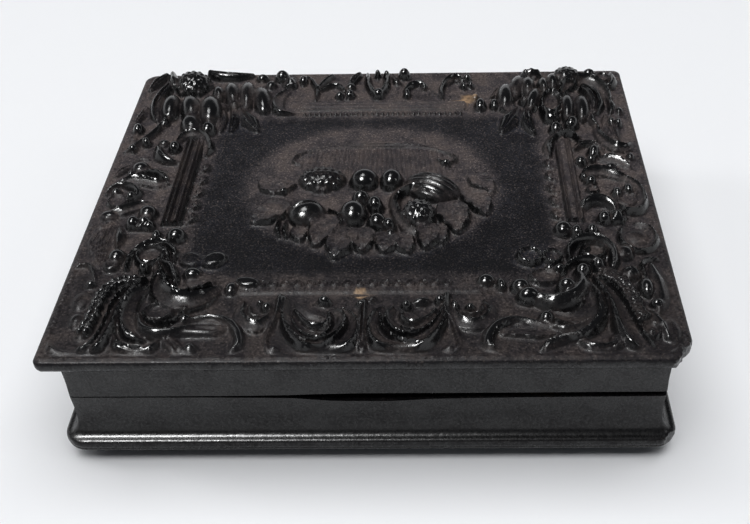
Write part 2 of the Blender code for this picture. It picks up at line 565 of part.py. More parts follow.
def shell_rings(edge_rings, plate_in, plate_out, cove_h, rim_z, floor, bend, way):
    """Outer skin from a plate's own rings round its lip, up the cove and rim and into the cavity.

    way is 1 for a shell that opens upwards and -1 for one that opens downwards.
    """
    rings = list(edge_rings)
    middle = (plate_in + plate_out) / 2
    half = (plate_out - plate_in) / 2
    for step in range(LIP_STEPS + 1):
        turn = HALF_TURN * step / LIP_STEPS - QUARTER_TURN
        inset = LIP_ROUND * (1 - math.cos(turn))
        rings.append(inset_ring(inset, middle + half * math.sin(turn), PLATE_R))
    for step in range(1, COVE_STEPS + 1):
        turn = QUARTER_TURN * step / COVE_STEPS
        inset = LIP_ROUND + (RIM_INSET - LIP_ROUND) * math.sin(turn)
        z = plate_out + way * cove_h * (1 - math.cos(turn))
        rings.append(inset_ring(inset, z, RIM_R))
    inner = RIM_INSET + WALL
    rings.append(sprung(inset_ring(RIM_INSET, rim_z, RIM_R), bend))
    rings.append(sprung(inset_ring(inner, rim_z, CAVITY_R), bend))
    rings.append(inset_ring(inner, floor, CAVITY_R))
    return rings


def cut_pocket(shell, name, x, low, high):
    """A shallow pocket for a clasp in the inner face of the front rim."""
    depth = POCKET_DEPTH + OVERRUN
    mesh = box_mesh(name, POCKET_W, depth, high - low)
    cut(shell, place_cutter(name, mesh, (x, FRONT_WALL_Y - POCKET_DEPTH + depth / 2, low)))


def drill(piece, name, x, y, z, length):
    mesh = rod_mesh(name, SHANK_R + RUNNING_GAP, length, "Y")
    cut(piece, place_cutter(name, mesh, (x, y, z)))


def make_base():
    inner_edge = FOOT_INSET + FOOT_SLOPE + FOOT_LAND
    foot_r = PLATE_R
    underside = [
        inset_ring(inner_edge + FOOT_SLOPE, FOOT_H, foot_r),
        inset_ring(inner_edge, 0, foot_r),
        inset_ring(FOOT_INSET + FOOT_SLOPE, 0, foot_r),
        inset_ring(FOOT_INSET, FOOT_H, foot_r),
    ]
    rim_z = PARTING_Z - GAP / 2
    rings = shell_rings(underside, FOOT_H, FLOOR_Z, BASE_COVE_H, rim_z, FLOOR_Z, -DIP_DEPTH, 1)
    shell = place("base_shell", loft("base_shell", rings), PLASTIC)

    bm = bmesh.new()
    bmesh.ops.create_uvsphere(bm, u_segments=OVAL_SEGMENTS, v_segments=ROUND_SEGMENTS, radius=1)
    bmesh.ops.scale(bm, vec=(BOSS_W / 2, BOSS_D / 2, BOSS_H + BOSS_SINK), verts=bm.verts)
    upper = [vert for vert in bm.verts if vert.co.z > MERGE]
    bmesh.ops.delete(bm, geom=upper, context="VERTS")
    bmesh.ops.holes_fill(bm, edges=bm.edges)
    boss = place_cutter("underside_boss", add_mesh("underside_boss", bm), (0, 0, FOOT_H + BOSS_SINK))
    join(shell, boss)
    return shell


def smooth_line(points, parts=6):
    """A Catmull-Rom line through points, which are pairs."""
    line = np.array([points[0], *points, points[-1]], dtype=float)
    steps = np.linspace(0, 1, parts, endpoint=False)[:, None]
    made = []
    for before, start, end, after in zip(line, line[1:], line[2:], line[3:]):
        bend = 2 * before - 5 * start + 4 * end - after
        twist = 3 * (start - end) + after - before
        made.append((2 * start + (end - before) * steps + bend * steps**2 + twist * steps**3) / 2)
    return np.vstack([*made, line[-1:]])


def standing(x, y, rise):
    """Where a form of this height share stands, from where the photograph shows it."""
    nearer = SEEN_SHARE * RELIEF_H / EYE_H * np.asarray(rise)
    return x + (EYE_shares[0] - x) * nearer, y + (EYE_shares[1] - y) * nearer


def ridge(x, y, points, half_width, height):
    """A half-round ridge along a line, at module places x and y, lower and narrower at its ends."""
    line = smooth_line(points)
    swell = END_SHARE + (1 - END_SHARE) * np.sin(np.linspace(0, HALF_TURN, len(line)))
    line = np.column_stack(standing(line[:, 0], line[:, 1], height * swell))
    made = np.zeros(x.shape)
    for start, end, fullness in zip(line, line[1:], (swell[1:] + swell[:-1]) / 2):
        along = end - start
        share = ((x - start[0]) * along[0] + (y - start[1]) * along[1]) / max(along @ along, MERGE)
        share = np.clip(share, 0, 1)
        away = np.hypot(x - start[0] - share * along[0], y - start[1] - share * along[1])
        round_share = np.sqrt(np.clip(1 - (away / (half_width * fullness)) ** 2, 0, 1))
        made = np.maximum(made, height * fullness * round_share)
    return made


def dome(x, y, middle_x, middle_y, half_x, half_y, turn, height):
    middle_x, middle_y = standing(middle_x, middle_y, height)
    turn = math.radians(turn)
    along = (x - middle_x) * math.cos(turn) + (y - middle_y) * math.sin(turn)
    across = (y - middle_y) * math.cos(turn) - (x - middle_x) * math.sin(turn)
    return height * np.sqrt(np.clip(1 - (along / half_x) ** 2 - (across / half_y) ** 2, 0, 1))


def bar(x, y, middle_x, middle_y, half_x, half_y, height):
    inside = (np.abs(x - middle_x) < half_x) & (np.abs(y - middle_y) < half_y)
    return np.where(inside, height, 0)


def relief(x, y):
    """Height share of the lid's ornament at module places."""
    domes = FRUIT_shares + FRONT_DOME_shares + SIDE_DOME_shares + BACK_DOME_shares
    scrolls = LEAF_shares + BASKET_RIM_shares + SIDE_SCROLL_shares
    scrolls = scrolls + FRONT_LEFT_SCROLL_shares + FRONT_CENTRE_SCROLL_shares + FRONT_RIGHT_SCROLL_shares
    scrolls = scrolls + BACK_LEFT_SCROLL_shares + BACK_CENTRE_SCROLL_shares + BACK_RIGHT_SCROLL_shares
    forms = [bar(x, y, *places) for places in BAR_shares]
    forms += [dome(x, y, *places) for places in domes]
    forms += [ridge(x, y, *places) for places in scrolls]
    return np.maximum.reduce(forms)


def soft_relief(x, y):
    """Relief at lengths x and y, averaged over a little patch so that steep sides aren't jagged."""
    near = (-PANEL_STEP / 3, 0, PANEL_STEP / 3)
    heights = [
        relief((x + over) / MODULE_X, (y + along) / MODULE_Y) for over in near for along in near
    ]
    return RELIEF_H * np.mean(heights, axis=0)


def make_relief_panel():
    """The lid's ornamented field: a fine net raised by relief, with a skirt down into the plate."""
    half_w = PLATE_HALF_W - PANEL_MARGIN
    half_d = PLATE_HALF_D - PANEL_MARGIN
    columns = round(2 * half_w / PANEL_STEP)
    rows = round(2 * half_d / PANEL_STEP)
    bm = bmesh.new()
    bmesh.ops.create_grid(bm, x_segments=columns, y_segments=rows, size=1)
    bmesh.ops.scale(bm, vec=(half_w, half_d, 1), verts=bm.verts)
    bm.verts.ensure_lookup_table()
    x = np.array([vert.co.x for vert in bm.verts])
    y = np.array([vert.co.y for vert in bm.verts])
    rim = [edge for edge in bm.edges if edge.is_boundary]
    rim_verts = {vert for edge in rim for vert in edge.verts}
    to_edge = np.minimum(half_w - np.abs(x), half_d - np.abs(y))
    heights = soft_relief(x, y) * np.clip(to_edge / PANEL_FADE, 0, 1)
    for vert, height in zip(bm.verts, heights):
        vert.co.z = 0 if vert in rim_verts else height
    made = bmesh.ops.extrude_edge_only(bm, edges=rim)["geom"]
    skirt = [part for part in made if isinstance(part, bmesh.types.BMVert)]
    bmesh.ops.translate(bm, vec=(0, 0, -PANEL_RISE - PANEL_SINK), verts=skirt)
    bmesh.ops.contextual_create(bm, geom=[edge for edge in bm.edges if edge.is_boundary])
    panel = place_cutter("relief_panel", add_mesh("relief_panel", bm), (0, 0, PARTING_Z + LID_H))
    return panel


def make_lid(parent):
    top = PARTING_Z + LID_H - PANEL_RISE
    rim_z = PARTING_Z + GAP / 2
    rings = shell_rings([], top, CEILING_Z, LID_COVE_H, rim_z, CEILING_Z, BOW_HEIGHT, -1)
    local = [[(x, y, z - PARTING_Z) for x, y, z in points] for points in rings]
    shell = place("lid_shell", loft("lid_shell", local), PLASTIC, (0, 0, PARTING_Z), parent)
    join(shell, make_relief_panel())

    length = math.hypot(BREAK_X, BREAK_Y)
    chip = place_cutter(
        "broken_corner",
        box_mesh("broken_corner", 2 * length, length, LID_H + RELIEF_H),
    )
    chip.rotation_euler.z = math.atan2(BREAK_Y, BREAK_X)
    outward = Vector((BREAK_Y, -BREAK_X, 0)).normalized()
    middle = Vector((PLATE_HALF_W - BREAK_X / 2, BREAK_Y / 2 - PLATE_HALF_D, CEILING_Z - PLATE_T))
    chip.location = middle + outward * length / 2
    cut(shell, chip)
    return shell


def make_leaf(name, x, way, parent):
    """A hinge leaf on the back rim. way is 1 on the lid and -1 on the base."""
    axis = Vector((x, HINGE_Y, PARTING_Z))
    clear = BARREL_R + GAP
    mesh = box_mesh(name, HINGE_W, LEAF_T, LEAF_H - clear)
    low = clear if way > 0 else -LEAF_H
    leaf_y = LEAF_Y + LEAF_T / 2 - HINGE_Y
    bm = bmesh.new()
    bm.from_mesh(mesh)
    bmesh.ops.translate(bm, vec=(0, leaf_y, low), verts=bm.verts)
    leaf = place(name, add_mesh(name, bm), BRASS, axis, parent)

    knuckle = (HINGE_W - 2 * RUNNING_GAP) / 3
    offsets = (0,) if way > 0 else (-knuckle - RUNNING_GAP, knuckle + RUNNING_GAP)
    for number, offset in enumerate(offsets):
        label = f"{name}_knuckle_{number}"
        tab_h = clear + LEAF_T
        tab = place_cutter(label + "_tab", box_mesh(label + "_tab", knuckle, LEAF_T, tab_h))
        tab.location = axis + Vector((offset, leaf_y, 0 if way > 0 else -tab_h))
        join(leaf, tab)
        barrel = place_cutter(label, rod_mesh(label, BARREL_R, knuckle, "X"))
        barrel.location = axis + Vector((offset, 0, 0))
        join(leaf, barrel)
    bore = place_cutter(name + "_bore", rod_mesh(name + "_bore", PIN_R + RUNNING_GAP, 2 * HINGE_W, "X"))
    bore.location = axis
    cut(leaf, bore)
    return leaf


def turned(name, profile, look, at, way, parent):
    """A profile of (radius, height) pairs from the crown down, turned about Y.

    The crown points along +Y when way is 1 and along -Y when it is -1.
    """
    bm = bmesh.new()
    verts = [bm.verts.new((radius, 0, height)) for radius, height in profile]
    for one, other in zip(verts, verts[1:]):
        bm.edges.new((one, other))
    mesh = bpy.data.meshes.new(name)
    bm.to_mesh(mesh)
    bm.free()
    piece = place(name, mesh, look, at, parent)
    piece.rotation_euler.x = -way * QUARTER_TURN
    spin = piece.modifiers.new("turn", "SCREW")
    spin.steps = ROUND_SEGMENTS
    spin.render_steps = ROUND_SEGMENTS
    spin.use_merge_vertices = True
    spin.merge_threshold = MERGE
    return piece


def make_rivet(name, look, head_r, head_h, shank, at, way, parent):
    """A round-headed rivet whose origin is under its head."""
    turns = [QUARTER_TURN * step / HEAD_STEPS for step in range(HEAD_STEPS + 1)]
    profile = [(head_r * math.sin(turn), head_h * math.cos(turn)) for turn in turns]
    profile += [(SHANK_R, 0), (SHANK_R, -shank), (0, -shank)]
    return turned(name, profile, look, at, way, parent)


def make_hinge(side, x, base, lid, lid_pivot):
    leaves = {
        "base": (make_leaf(f"{side}_hinge_base_leaf", x, -1, None), base, -1, None),
        "lid": (make_leaf(f"{side}_hinge_lid_leaf", x, 1, lid_pivot), lid, 1, lid_pivot),
    }
    pin_length = HINGE_W + 2 * PIN_STICK_OUT
    name = f"{side}_hinge_pin"
    place(name, rod_mesh(name, PIN_R, pin_length, "X"), BRASS, (x, HINGE_Y, PARTING_Z))
    head_y = LEAF_Y + LEAF_T + RUNNING_GAP
    shank = head_y - CAVITY_HALF_D - RUNNING_GAP
    for half, (leaf, shell, way, parent) in leaves.items():
        for number, offset in ((1, -RIVET_SPACING / 2), (2, RIVET_SPACING / 2)):
            name = f"{side}_hinge_{half}_rivet_{number}"
            z = PARTING_Z + way * RIVET_DROP
            drill(leaf, name + "_leaf_hole", x + offset, LEAF_Y, z, 2 * WALL)
            drill(shell, name + "_rim_hole", x + offset, BACK_FACE_Y - WALL / 2, z, 2 * WALL)
            at = (x + offset, head_y, z)
            make_rivet(name, BRASS, HEAD_R, HEAD_H, shank, at, 1, parent)


def strip_mesh(name, width, line):
    """A bent strip: an open surface along a (y, z) line, which Solidify gives its thickness."""
    bm = bmesh.new()
    rows = [[bm.verts.new((x, y, z)) for x in (-width / 2, width / 2)] for y, z in line]
    for one, other in zip(rows, rows[1:]):
        bm.faces.new((one[0], one[1], other[1], other[0]))
    return add_mesh(name, bm)


def thicken(piece, thickness):
    step = piece.modifiers.new("thickness", "SOLIDIFY")
    step.thickness = thickness
    step.offset = 0
    step.use_even_offset = True


def make_clasp(side, x, base, lid, lid_pivot):
    """A spring tongue on the base rim and the catch plate that it snaps behind on the lid rim."""
    cut_pocket(base, f"{side}_base_pocket", x, SPRING_FOOT_Z - GAP, PARTING_Z + OVERRUN)
    catch_low = PARTING_Z + CATCH_LIFT
    lid_pocket_top = catch_low + CATCH_H + GAP
    cut_pocket(lid, f"{side}_lid_pocket", x, PARTING_Z - OVERRUN, lid_pocket_top)

    foot_y = FRONT_WALL_Y - POCKET_DEPTH + GAP + SPRING_T / 2
    tongue_y = FRONT_WALL_Y - SPRING_T / 2
    top = PARTING_Z + TONGUE_REACH
    line = [
        (foot_y, SPRING_FOOT_Z),
        (foot_y, SPRING_BEND_Z),
        (tongue_y, SPRING_BEND_Z + SPRING_BEND_H),
        (tongue_y, top - BUMP_H),
        (tongue_y - BUMP_DEPTH, top - BUMP_H / 2),
        (tongue_y, top),
    ]
    flex = pivot(f"{side}_clasp_flex", (x, foot_y, FLEX_Z))
    name = f"{side}_clasp_spring"
    local = [(y - foot_y, z - FLEX_Z) for y, z in line]
    spring = place(name, strip_mesh(name, CLASP_W, local), BRASS, flex.location, flex)
    thicken(spring, SPRING_T)
    head_y = foot_y + SPRING_T / 2 + RUNNING_GAP / 2
    blind_bottom = FRONT_WALL_Y - POCKET_DEPTH - BLIND_DEPTH
    for number, offset in ((1, -CLASP_RIVET_SPACING / 2), (2, CLASP_RIVET_SPACING / 2)):
        name = f"{side}_clasp_rivet_{number}"
        drill(spring, name + "_hole", x + offset, foot_y, FLEX_Z, WALL)
        length = 2 * BLIND_DEPTH
        drill(base, name + "_seat", x + offset, blind_bottom + length / 2, FLEX_Z, length)
        shank = head_y - blind_bottom - RUNNING_GAP
        at = (x + offset, head_y, FLEX_Z)
        make_rivet(name, BRASS, SMALL_HEAD_R, SMALL_HEAD_H, shank, at, 1, None)

    catch_y = FRONT_WALL_Y - POCKET_DEPTH + RUNNING_GAP + CATCH_T / 2
    name = f"{side}_clasp_catch"
    mesh = box_mesh(name, CLASP_W, CATCH_T, CATCH_H)
    catch = place(name, mesh, BRASS, (x, catch_y, catch_low), lid_pivot)
    window = box_mesh(name + "_window", WINDOW_W, OVERRUN, WINDOW_H)
    cut(catch, place_cutter(name + "_window", window, (x, catch_y, catch_low + WINDOW_LIFT)))
    rivet_z = catch_low + CATCH_H - CATCH_RIVET_DROP
    name = f"{side}_catch_rivet"
    drill(catch, name + "_hole", x, catch_y, rivet_z, WALL)
    drill(lid, name + "_seat", x, blind_bottom + BLIND_DEPTH, rivet_z, 2 * BLIND_DEPTH)
    head_y = catch_y + CATCH_T / 2 + RUNNING_GAP / 2
    shank = head_y - blind_bottom - RUNNING_GAP
    make_rivet(name, BRASS, SMALL_HEAD_R, SMALL_HEAD_H, shank, (x, head_y, rivet_z), 1, lid_pivot)


def sheet(name, look, z, thickness):
    """A flat sheet of the packet, at the picture's size."""
    return place(name, box_mesh(name, PICTURE_W, PICTURE_D, thickness), look, (0, 0, z))


def make_packet():
    """Backing, picture, mat, glass and the foil frame that binds them, lying in the base."""
    z = FLOOR_Z + GAP
    sheet("backing_card", CARD, z, BACKING_T)
    z += BACKING_T + GAP
    skirt_z = z
    sheet("image_plate", SILVERED, z, IMAGE_T)
    z += IMAGE_T + GAP
    mat = sheet("brass_mat", GILT, z, MAT_T)
    bm = bmesh.new()
    bmesh.ops.create_cone(bm, cap_ends=True, segments=OVAL_SEGMENTS, radius1=1, radius2=1, depth=1)
    bmesh.ops.scale(bm, vec=(WINDOW_OVAL_W / 2, WINDOW_OVAL_D / 2, WALL), verts=bm.verts)
    cut(mat, place_cutter("mat_window", add_mesh("mat_window", bm), (0, 0, z)))
    z += MAT_T + GAP
    sheet("cover_glass", GLASS, z, GLASS_T)
    z += GLASS_T + GAP

    half_w = PICTURE_W / 2 + GAP
    half_d = PICTURE_D / 2 + GAP
    section = [
        (PRESERVER_T, skirt_z),
        (PRESERVER_T, z + PRESERVER_T),
        (-PRESERVER_FLANGE, z + PRESERVER_T),
        (-PRESERVER_FLANGE, z),
        (0, z),
        (0, skirt_z),
    ]
    rings = [ring(half_w + out, half_d + out, PRESERVER_R, height) for out, height in section]
    place("preserver_frame", loft("preserver_frame", rings, tube=True), GILT)


def make_rail():
    """Velvet-covered strip between the packet and the rim, standing nearly to the seam."""
    outer_w = CAVITY_HALF_W - GAP
    outer_d = CAVITY_HALF_D - GAP
    low = FLOOR_Z + GAP
    high = PARTING_Z - GAP / 2 - DIP_DEPTH - RAIL_BELOW_RIM
    rings = [
        ring(outer_w, outer_d, CAVITY_R, low),
        ring(outer_w, outer_d, CAVITY_R, high),
        ring(outer_w - RAIL_T, outer_d - RAIL_T, CAVITY_R - RAIL_T, high),
        ring(outer_w - RAIL_T, outer_d - RAIL_T, CAVITY_R - RAIL_T, low),
    ]
    place("velvet_rail", loft("velvet_rail", rings, tube=True), VELVET)


def make_pad(parent):
    """A board and a crowned velvet cushion in the lid."""
    half_w = CAVITY_HALF_W - GAP
    half_d = CAVITY_HALF_D - GAP
    board_z = CEILING_Z - GAP - BOARD_T
    rings = [
        ring(half_w, half_d, CAVITY_R, 0),
        ring(half_w, half_d, CAVITY_R, BOARD_T),
    ]
    place("pad_board", loft("pad_board", rings), CARD, (0, 0, board_z), parent)

    pad_top = board_z - GAP
    crown_inset = (half_d + half_w) / 6
    section = [
        (PAD_DRAWN_IN, 0),
        (0, -PAD_EDGE_T / 3),
        (PAD_DRAWN_IN / 2, -PAD_EDGE_T * 5 / 6),
        (2 * PAD_DRAWN_IN, -PAD_EDGE_T),
        (crown_inset, -PAD_EDGE_T - PAD_CROWN * 2 / 3),
        (2 * crown_inset, -PAD_EDGE_T - PAD_CROWN),
    ]
    rings = [ring(half_w - inset, half_d - inset, CAVITY_R, height) for inset, height in section]
    place("velvet_pad", loft("velvet_pad", rings), VELVET, (0, 0, pad_top), parent)


def main():
    lid_pivot = pivot("lid_pivot", (0, HINGE_Y, PARTING_Z))
    base = make_base()
    lid = make_lid(lid_pivot)
    for side, way in (("left", -1), ("right", 1)):
        make_hinge(side, way * HINGE_X, base, lid, lid_pivot)
        make_clasp(side, way * CLASP_X, base, lid, lid_pivot)
    make_packet()
    make_rail()
    make_pad(lid_pivot)


main()
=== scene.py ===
"""Looks of a hinged moulded photograph case: its relief lid, coved base, brass and velvet.

Lengths in the tables are millimetres on the lid, with +X to the right, +Y to the back, and the
origin over the middle of the case. Heights are millimetres above the lid's ground.
"""
import json
import math

import bpy
import numpy as np
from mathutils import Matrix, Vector, noise


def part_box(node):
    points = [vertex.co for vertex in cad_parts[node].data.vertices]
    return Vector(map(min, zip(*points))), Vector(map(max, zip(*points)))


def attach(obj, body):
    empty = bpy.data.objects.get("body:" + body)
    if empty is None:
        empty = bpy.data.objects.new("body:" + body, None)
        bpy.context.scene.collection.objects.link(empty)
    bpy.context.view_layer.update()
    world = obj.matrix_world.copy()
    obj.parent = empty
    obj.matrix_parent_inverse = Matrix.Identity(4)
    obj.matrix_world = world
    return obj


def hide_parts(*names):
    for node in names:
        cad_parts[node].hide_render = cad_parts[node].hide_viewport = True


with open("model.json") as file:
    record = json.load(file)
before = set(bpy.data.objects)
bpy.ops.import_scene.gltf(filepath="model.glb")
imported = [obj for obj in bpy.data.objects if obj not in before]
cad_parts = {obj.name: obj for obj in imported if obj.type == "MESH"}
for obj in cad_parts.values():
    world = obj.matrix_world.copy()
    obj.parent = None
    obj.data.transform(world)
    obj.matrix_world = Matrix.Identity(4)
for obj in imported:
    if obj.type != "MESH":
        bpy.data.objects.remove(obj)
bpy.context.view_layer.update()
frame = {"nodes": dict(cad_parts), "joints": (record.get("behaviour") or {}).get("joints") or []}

MM = 0.001
joints = {joint["name"]: joint for joint in frame["joints"]}

# The width that the tables were drawn for, and sizes of the covers in millimetres
DRAWN_W = 96.0 * MM
LID_H = 9.9
PLATE_T = 2.0
FOOT_H = 2.4
RIM_INSET = 2.56
WALL = 2.3

lid_low, lid_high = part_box("lid_shell")
SCALE = (lid_high.x - lid_low.x) / DRAWN_W
UNIT = SCALE * MM
HALF_W = lid_high.x / UNIT
HALF_D = lid_high.y / UNIT
PARTING_Z = joints["lid_hinge"]["pos_m"][2] / UNIT
GROUND_Z = PARTING_Z + LID_H
FLOOR_Z = FOOT_H + PLATE_T
CEILING_Z = GROUND_Z - PLATE_T

# Camera: its place from the middle of the lid's ground, its turns in degrees and its lens
EYE = (10.76, -142.43, 105.43)
EYE_TURNS = (48.737, 1.026, 0.495)
LENS = 48.94
SHIFT_X = -0.0574
SHIFT_Y = 0.0196

# Along the front seam: places, how far the lid's edge is up and the base's edge is down
SEAM_PLACES = [-45, -26, -17, -11, -8, -5, -2, 3, 6, 10, 18, 25, 35, 45]
LID_RISES = [0, 0, 0.03, 0.15, 0.3, 0.35, 0.45, 0.45, 0.45, 0.42, 0.42, 0.42, 0.45, 0.45]
BASE_DROPS = [0.05, 0.15, 0.3, 0.45, 0.8, 1.1, 1.15, 1.2, 1.05, 0.75, 0.6, 0.5, 0.45, 0.4]

# The lid's top: how far it is in from the lip, spacing of its net, cells along a block that becomes one
# face if it is level to within LEVEL, rings below that keep the spacing, share of faces kept, and the
# radii of its corners from the front left anticlockwise
TOP_INSET = 0.42
NET_STEP = 0.21
BLOCK = 4
LEVEL = 0.004
FINE_RINGS = 5
THINNED = 0.57
TOP_RADII = (1.1, 1.1, 1.7, 3.4)

# Spacing of the places round the base
BASE_STEP = 0.75

# The cord inside the lip: how far in, spacing, and radius, top and height of its beads
EDGE_IN = 0.55
EDGE_PITCH = 0.8
EDGE_BEAD = (0.4, 0.3, 0.3)

# Beads of a berry: spacing, spacing of rows, radius, how far they stand out, their height, and the
# square of the share of the berry that they reach out to
BERRY_PITCH = 1.15
BERRY_ROWS = 0.86
BERRY_RADIUS = 0.54 * BERRY_PITCH
BERRY_PROUD = 0.2
BERRY_RISE = 0.75
BERRY_END = 0.92

# Pale chips: middle and radius
CHIPS = [(-1.0, -26.3, 1.0), (17.3, 30.2, 1.6), (-29.3, 40.0, 0.7)]

# What the covers' places are marked with, and the last three of these marks for every wall
MARKS = ("dust_and_painted_light", "panel", "chip", "polish")
WALL_MARKS = (0.7, 0, 0.1)

# How far up its height a form's outline is seen
SEEN_SHARE = 0.6

# The front: share of their height that forms keep there, from where to where that fades, and how far
# in from the edge the relief begins and is whole
FRONT_SHARE = 0.72
FRONT_FADE = (-34, -22)
FRONT_START = (0.7, 2.3)

# Lace: number and spacing of the curls at each side, the scallops in front and the beads behind
CURLS, CURL_PITCH = 5, 3.65
SCALLOPS, SCALLOP_PITCH = 16, 1.95
LACE_BEADS, LACE_PITCH = 31, 1.0

# The coves' heights, and how far from the parting plane each rim ends
LID_COVE_H = 2.75
BASE_COVE_H = 3.55
LID_GAP = 0.08
BASE_GAP = 0.06

# Lights: name, place and size in metres, power, whether gloss shows it, whether it lights matt faces
LIGHTS = (
    ("key_softbox", (-0.25, -0.22, 0.66), (0.18, 0.22), 8.0, True, False),
    ("sheen_softbox", (-0.14, 0.14, 0.70), (0.26, 0.24), 2.0, True, False),
    ("ceiling", (0.0, 0.0, 0.95), (1.2, 0.9), 11.4, False, True),
    ("window_glow", (-0.85, 0.20, 0.55), (0.22, 0.40), 1.6, False, True),
    ("left_window", (-0.85, 0.20, 0.55), (0.20, 0.36), 2.6, True, False),
    ("right_strip", (0.42, -0.10, 0.40), (0.05, 0.12), 0.12, True, True),
)
LIGHT_AIM = (0, 0, 0.02)

# The floor's own glow: its colour, and how far out it begins and is whole, in metres
GLOW = (0.83, 0.835, 0.85, 1)
GLOW_START = (0.3, 1.0)

# The forms of the lid, region by region, as the photograph's view shows them.
# Ridges: seen places, half widths, heights, section.
# Domes: seen middle, half width, half depth, height, then turn and kind where they matter.
FRONT_LEFT_RIDGES = [
    ([(-35.2, -22.4), (-37.0, -24.3), (-38.3, -28.5), (-38.7, -33.0), (-39.3, -36.4), (-40.6, -38.0)],
     [0.6, 1.1, 1.45, 1.45, 1.3, 1.0], [1.4, 2.3, 2.8, 2.8, 2.3, 1.7], "crest_left"),
    ([(-42.2, -38.7), (-44.4, -38.6), (-46.0, -37.5), (-46.6, -36.0)],
     [0.9, 1.0, 0.85, 0.4], [1.2, 1.5, 1.2, 0.5], "round"),
    ([(-34.4, -24.4), (-36.0, -26.4), (-36.5, -29.4), (-36.1, -32.0), (-35.0, -34.2), (-33.0, -35.6)],
     [0.5, 1.0, 1.3, 1.4, 1.3, 0.7], [1.6, 2.3, 2.7, 2.7, 2.4, 1.6], "crest_right"),
    ([(-34.6, -30.4), (-33.6, -33.0), (-31.2, -34.2), (-28.4, -34.0), (-25.8, -33.0)],
     [0.6, 1.2, 1.3, 1.0, 0.5], [1.7, 2.3, 2.5, 2.2, 1.5], "round"),
    ([(-37.2, -35.0), (-36.2, -37.2), (-33.9, -38.3), (-31.6, -37.8), (-30.4, -36.2)],
     [0.5, 0.9, 1.0, 0.9, 0.4], [1.3, 1.8, 2.0, 1.8, 1.0], "round"),
    # thin crest lines
    ([(-35.1, -22.2), (-37.0, -23.8), (-38.3, -25.5), (-39.1, -28.2), (-39.3, -30.8), (-39.5, -33.4),
      (-40.0, -35.6), (-41.2, -37.6)], 0.3, [1.9, 2.5, 2.9, 3.0, 3.0, 2.9, 2.6, 1.9], "round"),
    ([(-35.2, -23.9), (-36.7, -25.8), (-37.3, -28.8), (-36.9, -31.4), (-35.9, -33.5), (-33.8, -35.3)],
     0.28, [2.0, 2.6, 2.9, 2.9, 2.6, 2.0], "round"),
    ([(-33.9, -29.9), (-33.0, -31.6), (-31.0, -32.4), (-28.9, -31.8), (-27.8, -29.9)],
     0.28, [2.1, 2.5, 2.6, 2.4, 1.9], "round"),
    ([(-36.6, -36.0), (-34.8, -37.1), (-32.6, -37.4)], 0.28, [1.9, 2.2, 1.9], "round"),
    ([(-31.9, -21.4), (-31.4, -23.6), (-29.4, -25.2), (-26.9, -25.0), (-24.5, -23.6)],
     0.28, [2.3, 2.9, 3.1, 2.9, 2.2], "round"),
    ([(-33.0, -20.2), (-34.0, -22.6), (-33.6, -25.4), (-32.2, -27.8)],
     0.26, [2.0, 2.3, 2.4, 2.1], "round"),
    ([(-30.2, -34.9), (-28.3, -32.9), (-25.6, -31.4), (-22.8, -31.0), (-20.4, -32.0), (-18.9, -34.2),
      (-18.5, -36.6), (-19.4, -38.3)],
     [0.4, 0.7, 0.75, 0.75, 0.85, 0.9, 0.8, 0.5], [1.0, 1.3, 1.5, 1.5, 1.7, 1.8, 1.5, 0.8], "round"),
    ([(-30.6, -35.3), (-27.6, -34.3), (-24.6, -34.3), (-22.2, -34.4), (-20.6, -33.2)],
     [0.5, 0.8, 0.85, 0.7, 0.4], [1.2, 1.5, 1.4, 1.1, 0.8], "round"),
    ([(-29.0, -34.0), (-25.0, -32.6), (-21.5, -33.0)], [0.6, 1.5, 0.7], [0.7, 0.8, 0.6], "leaf"),
    ([(-29.8, -35.4), (-28.4, -36.6), (-27.1, -38.2), (-26.4, -39.0)],
     [0.5, 1.1, 1.1, 0.3], [0.9, 1.2, 1.2, 0.5], "leaf"),
    ([(-37.8, -34.4), (-37.6, -36.9), (-36.4, -38.5), (-34.9, -38.7)],
     [0.4, 0.6, 0.6, 0.3], [0.5, 0.6, 0.6, 0.3], "round"),
    ([(-34.2, -18.4), (-33.1, -21.4), (-32.2, -24.4), (-30.2, -26.6), (-27.4, -27.1), (-25.0, -26.1),
      (-23.1, -24.3)],
     [0.6, 1.2, 1.6, 1.8, 1.8, 1.4, 0.4], [1.6, 2.4, 2.8, 2.9, 2.8, 2.2, 0.9], "crest_left"),
    ([(-33.4, -18.0), (-31.8, -19.0), (-30.7, -21.6), (-30.3, -23.4)],
     [0.5, 0.8, 0.8, 0.4], [1.7, 2.1, 1.9, 1.2], "round"),
    ([(-38.9, -19.6), (-38.8, -16.4), (-36.9, -13.7), (-34.2, -13.2), (-32.1, -15.0), (-31.5, -17.8)],
     [0.4, 0.6, 0.75, 0.8, 0.75, 0.4], [1.2, 1.9, 2.3, 2.4, 2.1, 1.2], "round"),
    ([(-34.8, -14.2), (-33.2, -15.4), (-32.6, -17.4)], [0.4, 0.5, 0.4], [2.0, 2.3, 1.6], "round"),
    ([(-46.9, -19.0), (-45.3, -18.5), (-44.0, -19.9), (-43.2, -22.2)],
     [0.4, 0.5, 0.5, 0.3], [0.7, 1.0, 1.0, 0.6], "round"),
    ([(-42.3, -8.9), (-41.7, -11.4), (-41.5, -14.2)], [0.5, 1.1, 0.4], [0.8, 1.3, 0.8], "round"),
    ([(-44.0, -8.0), (-44.3, -12.0), (-43.6, -17.0), (-42.9, -21.2)],
     [0.8, 1.6, 1.2, 0.4], [0.6, 0.9, 0.9, 0.5], "flutes"),
    ([(-45.9, -9.6), (-46.0, -12.8), (-45.4, -15.8)], [0.4, 0.7, 0.3], [0.5, 0.8, 0.4], "leaf"),
]
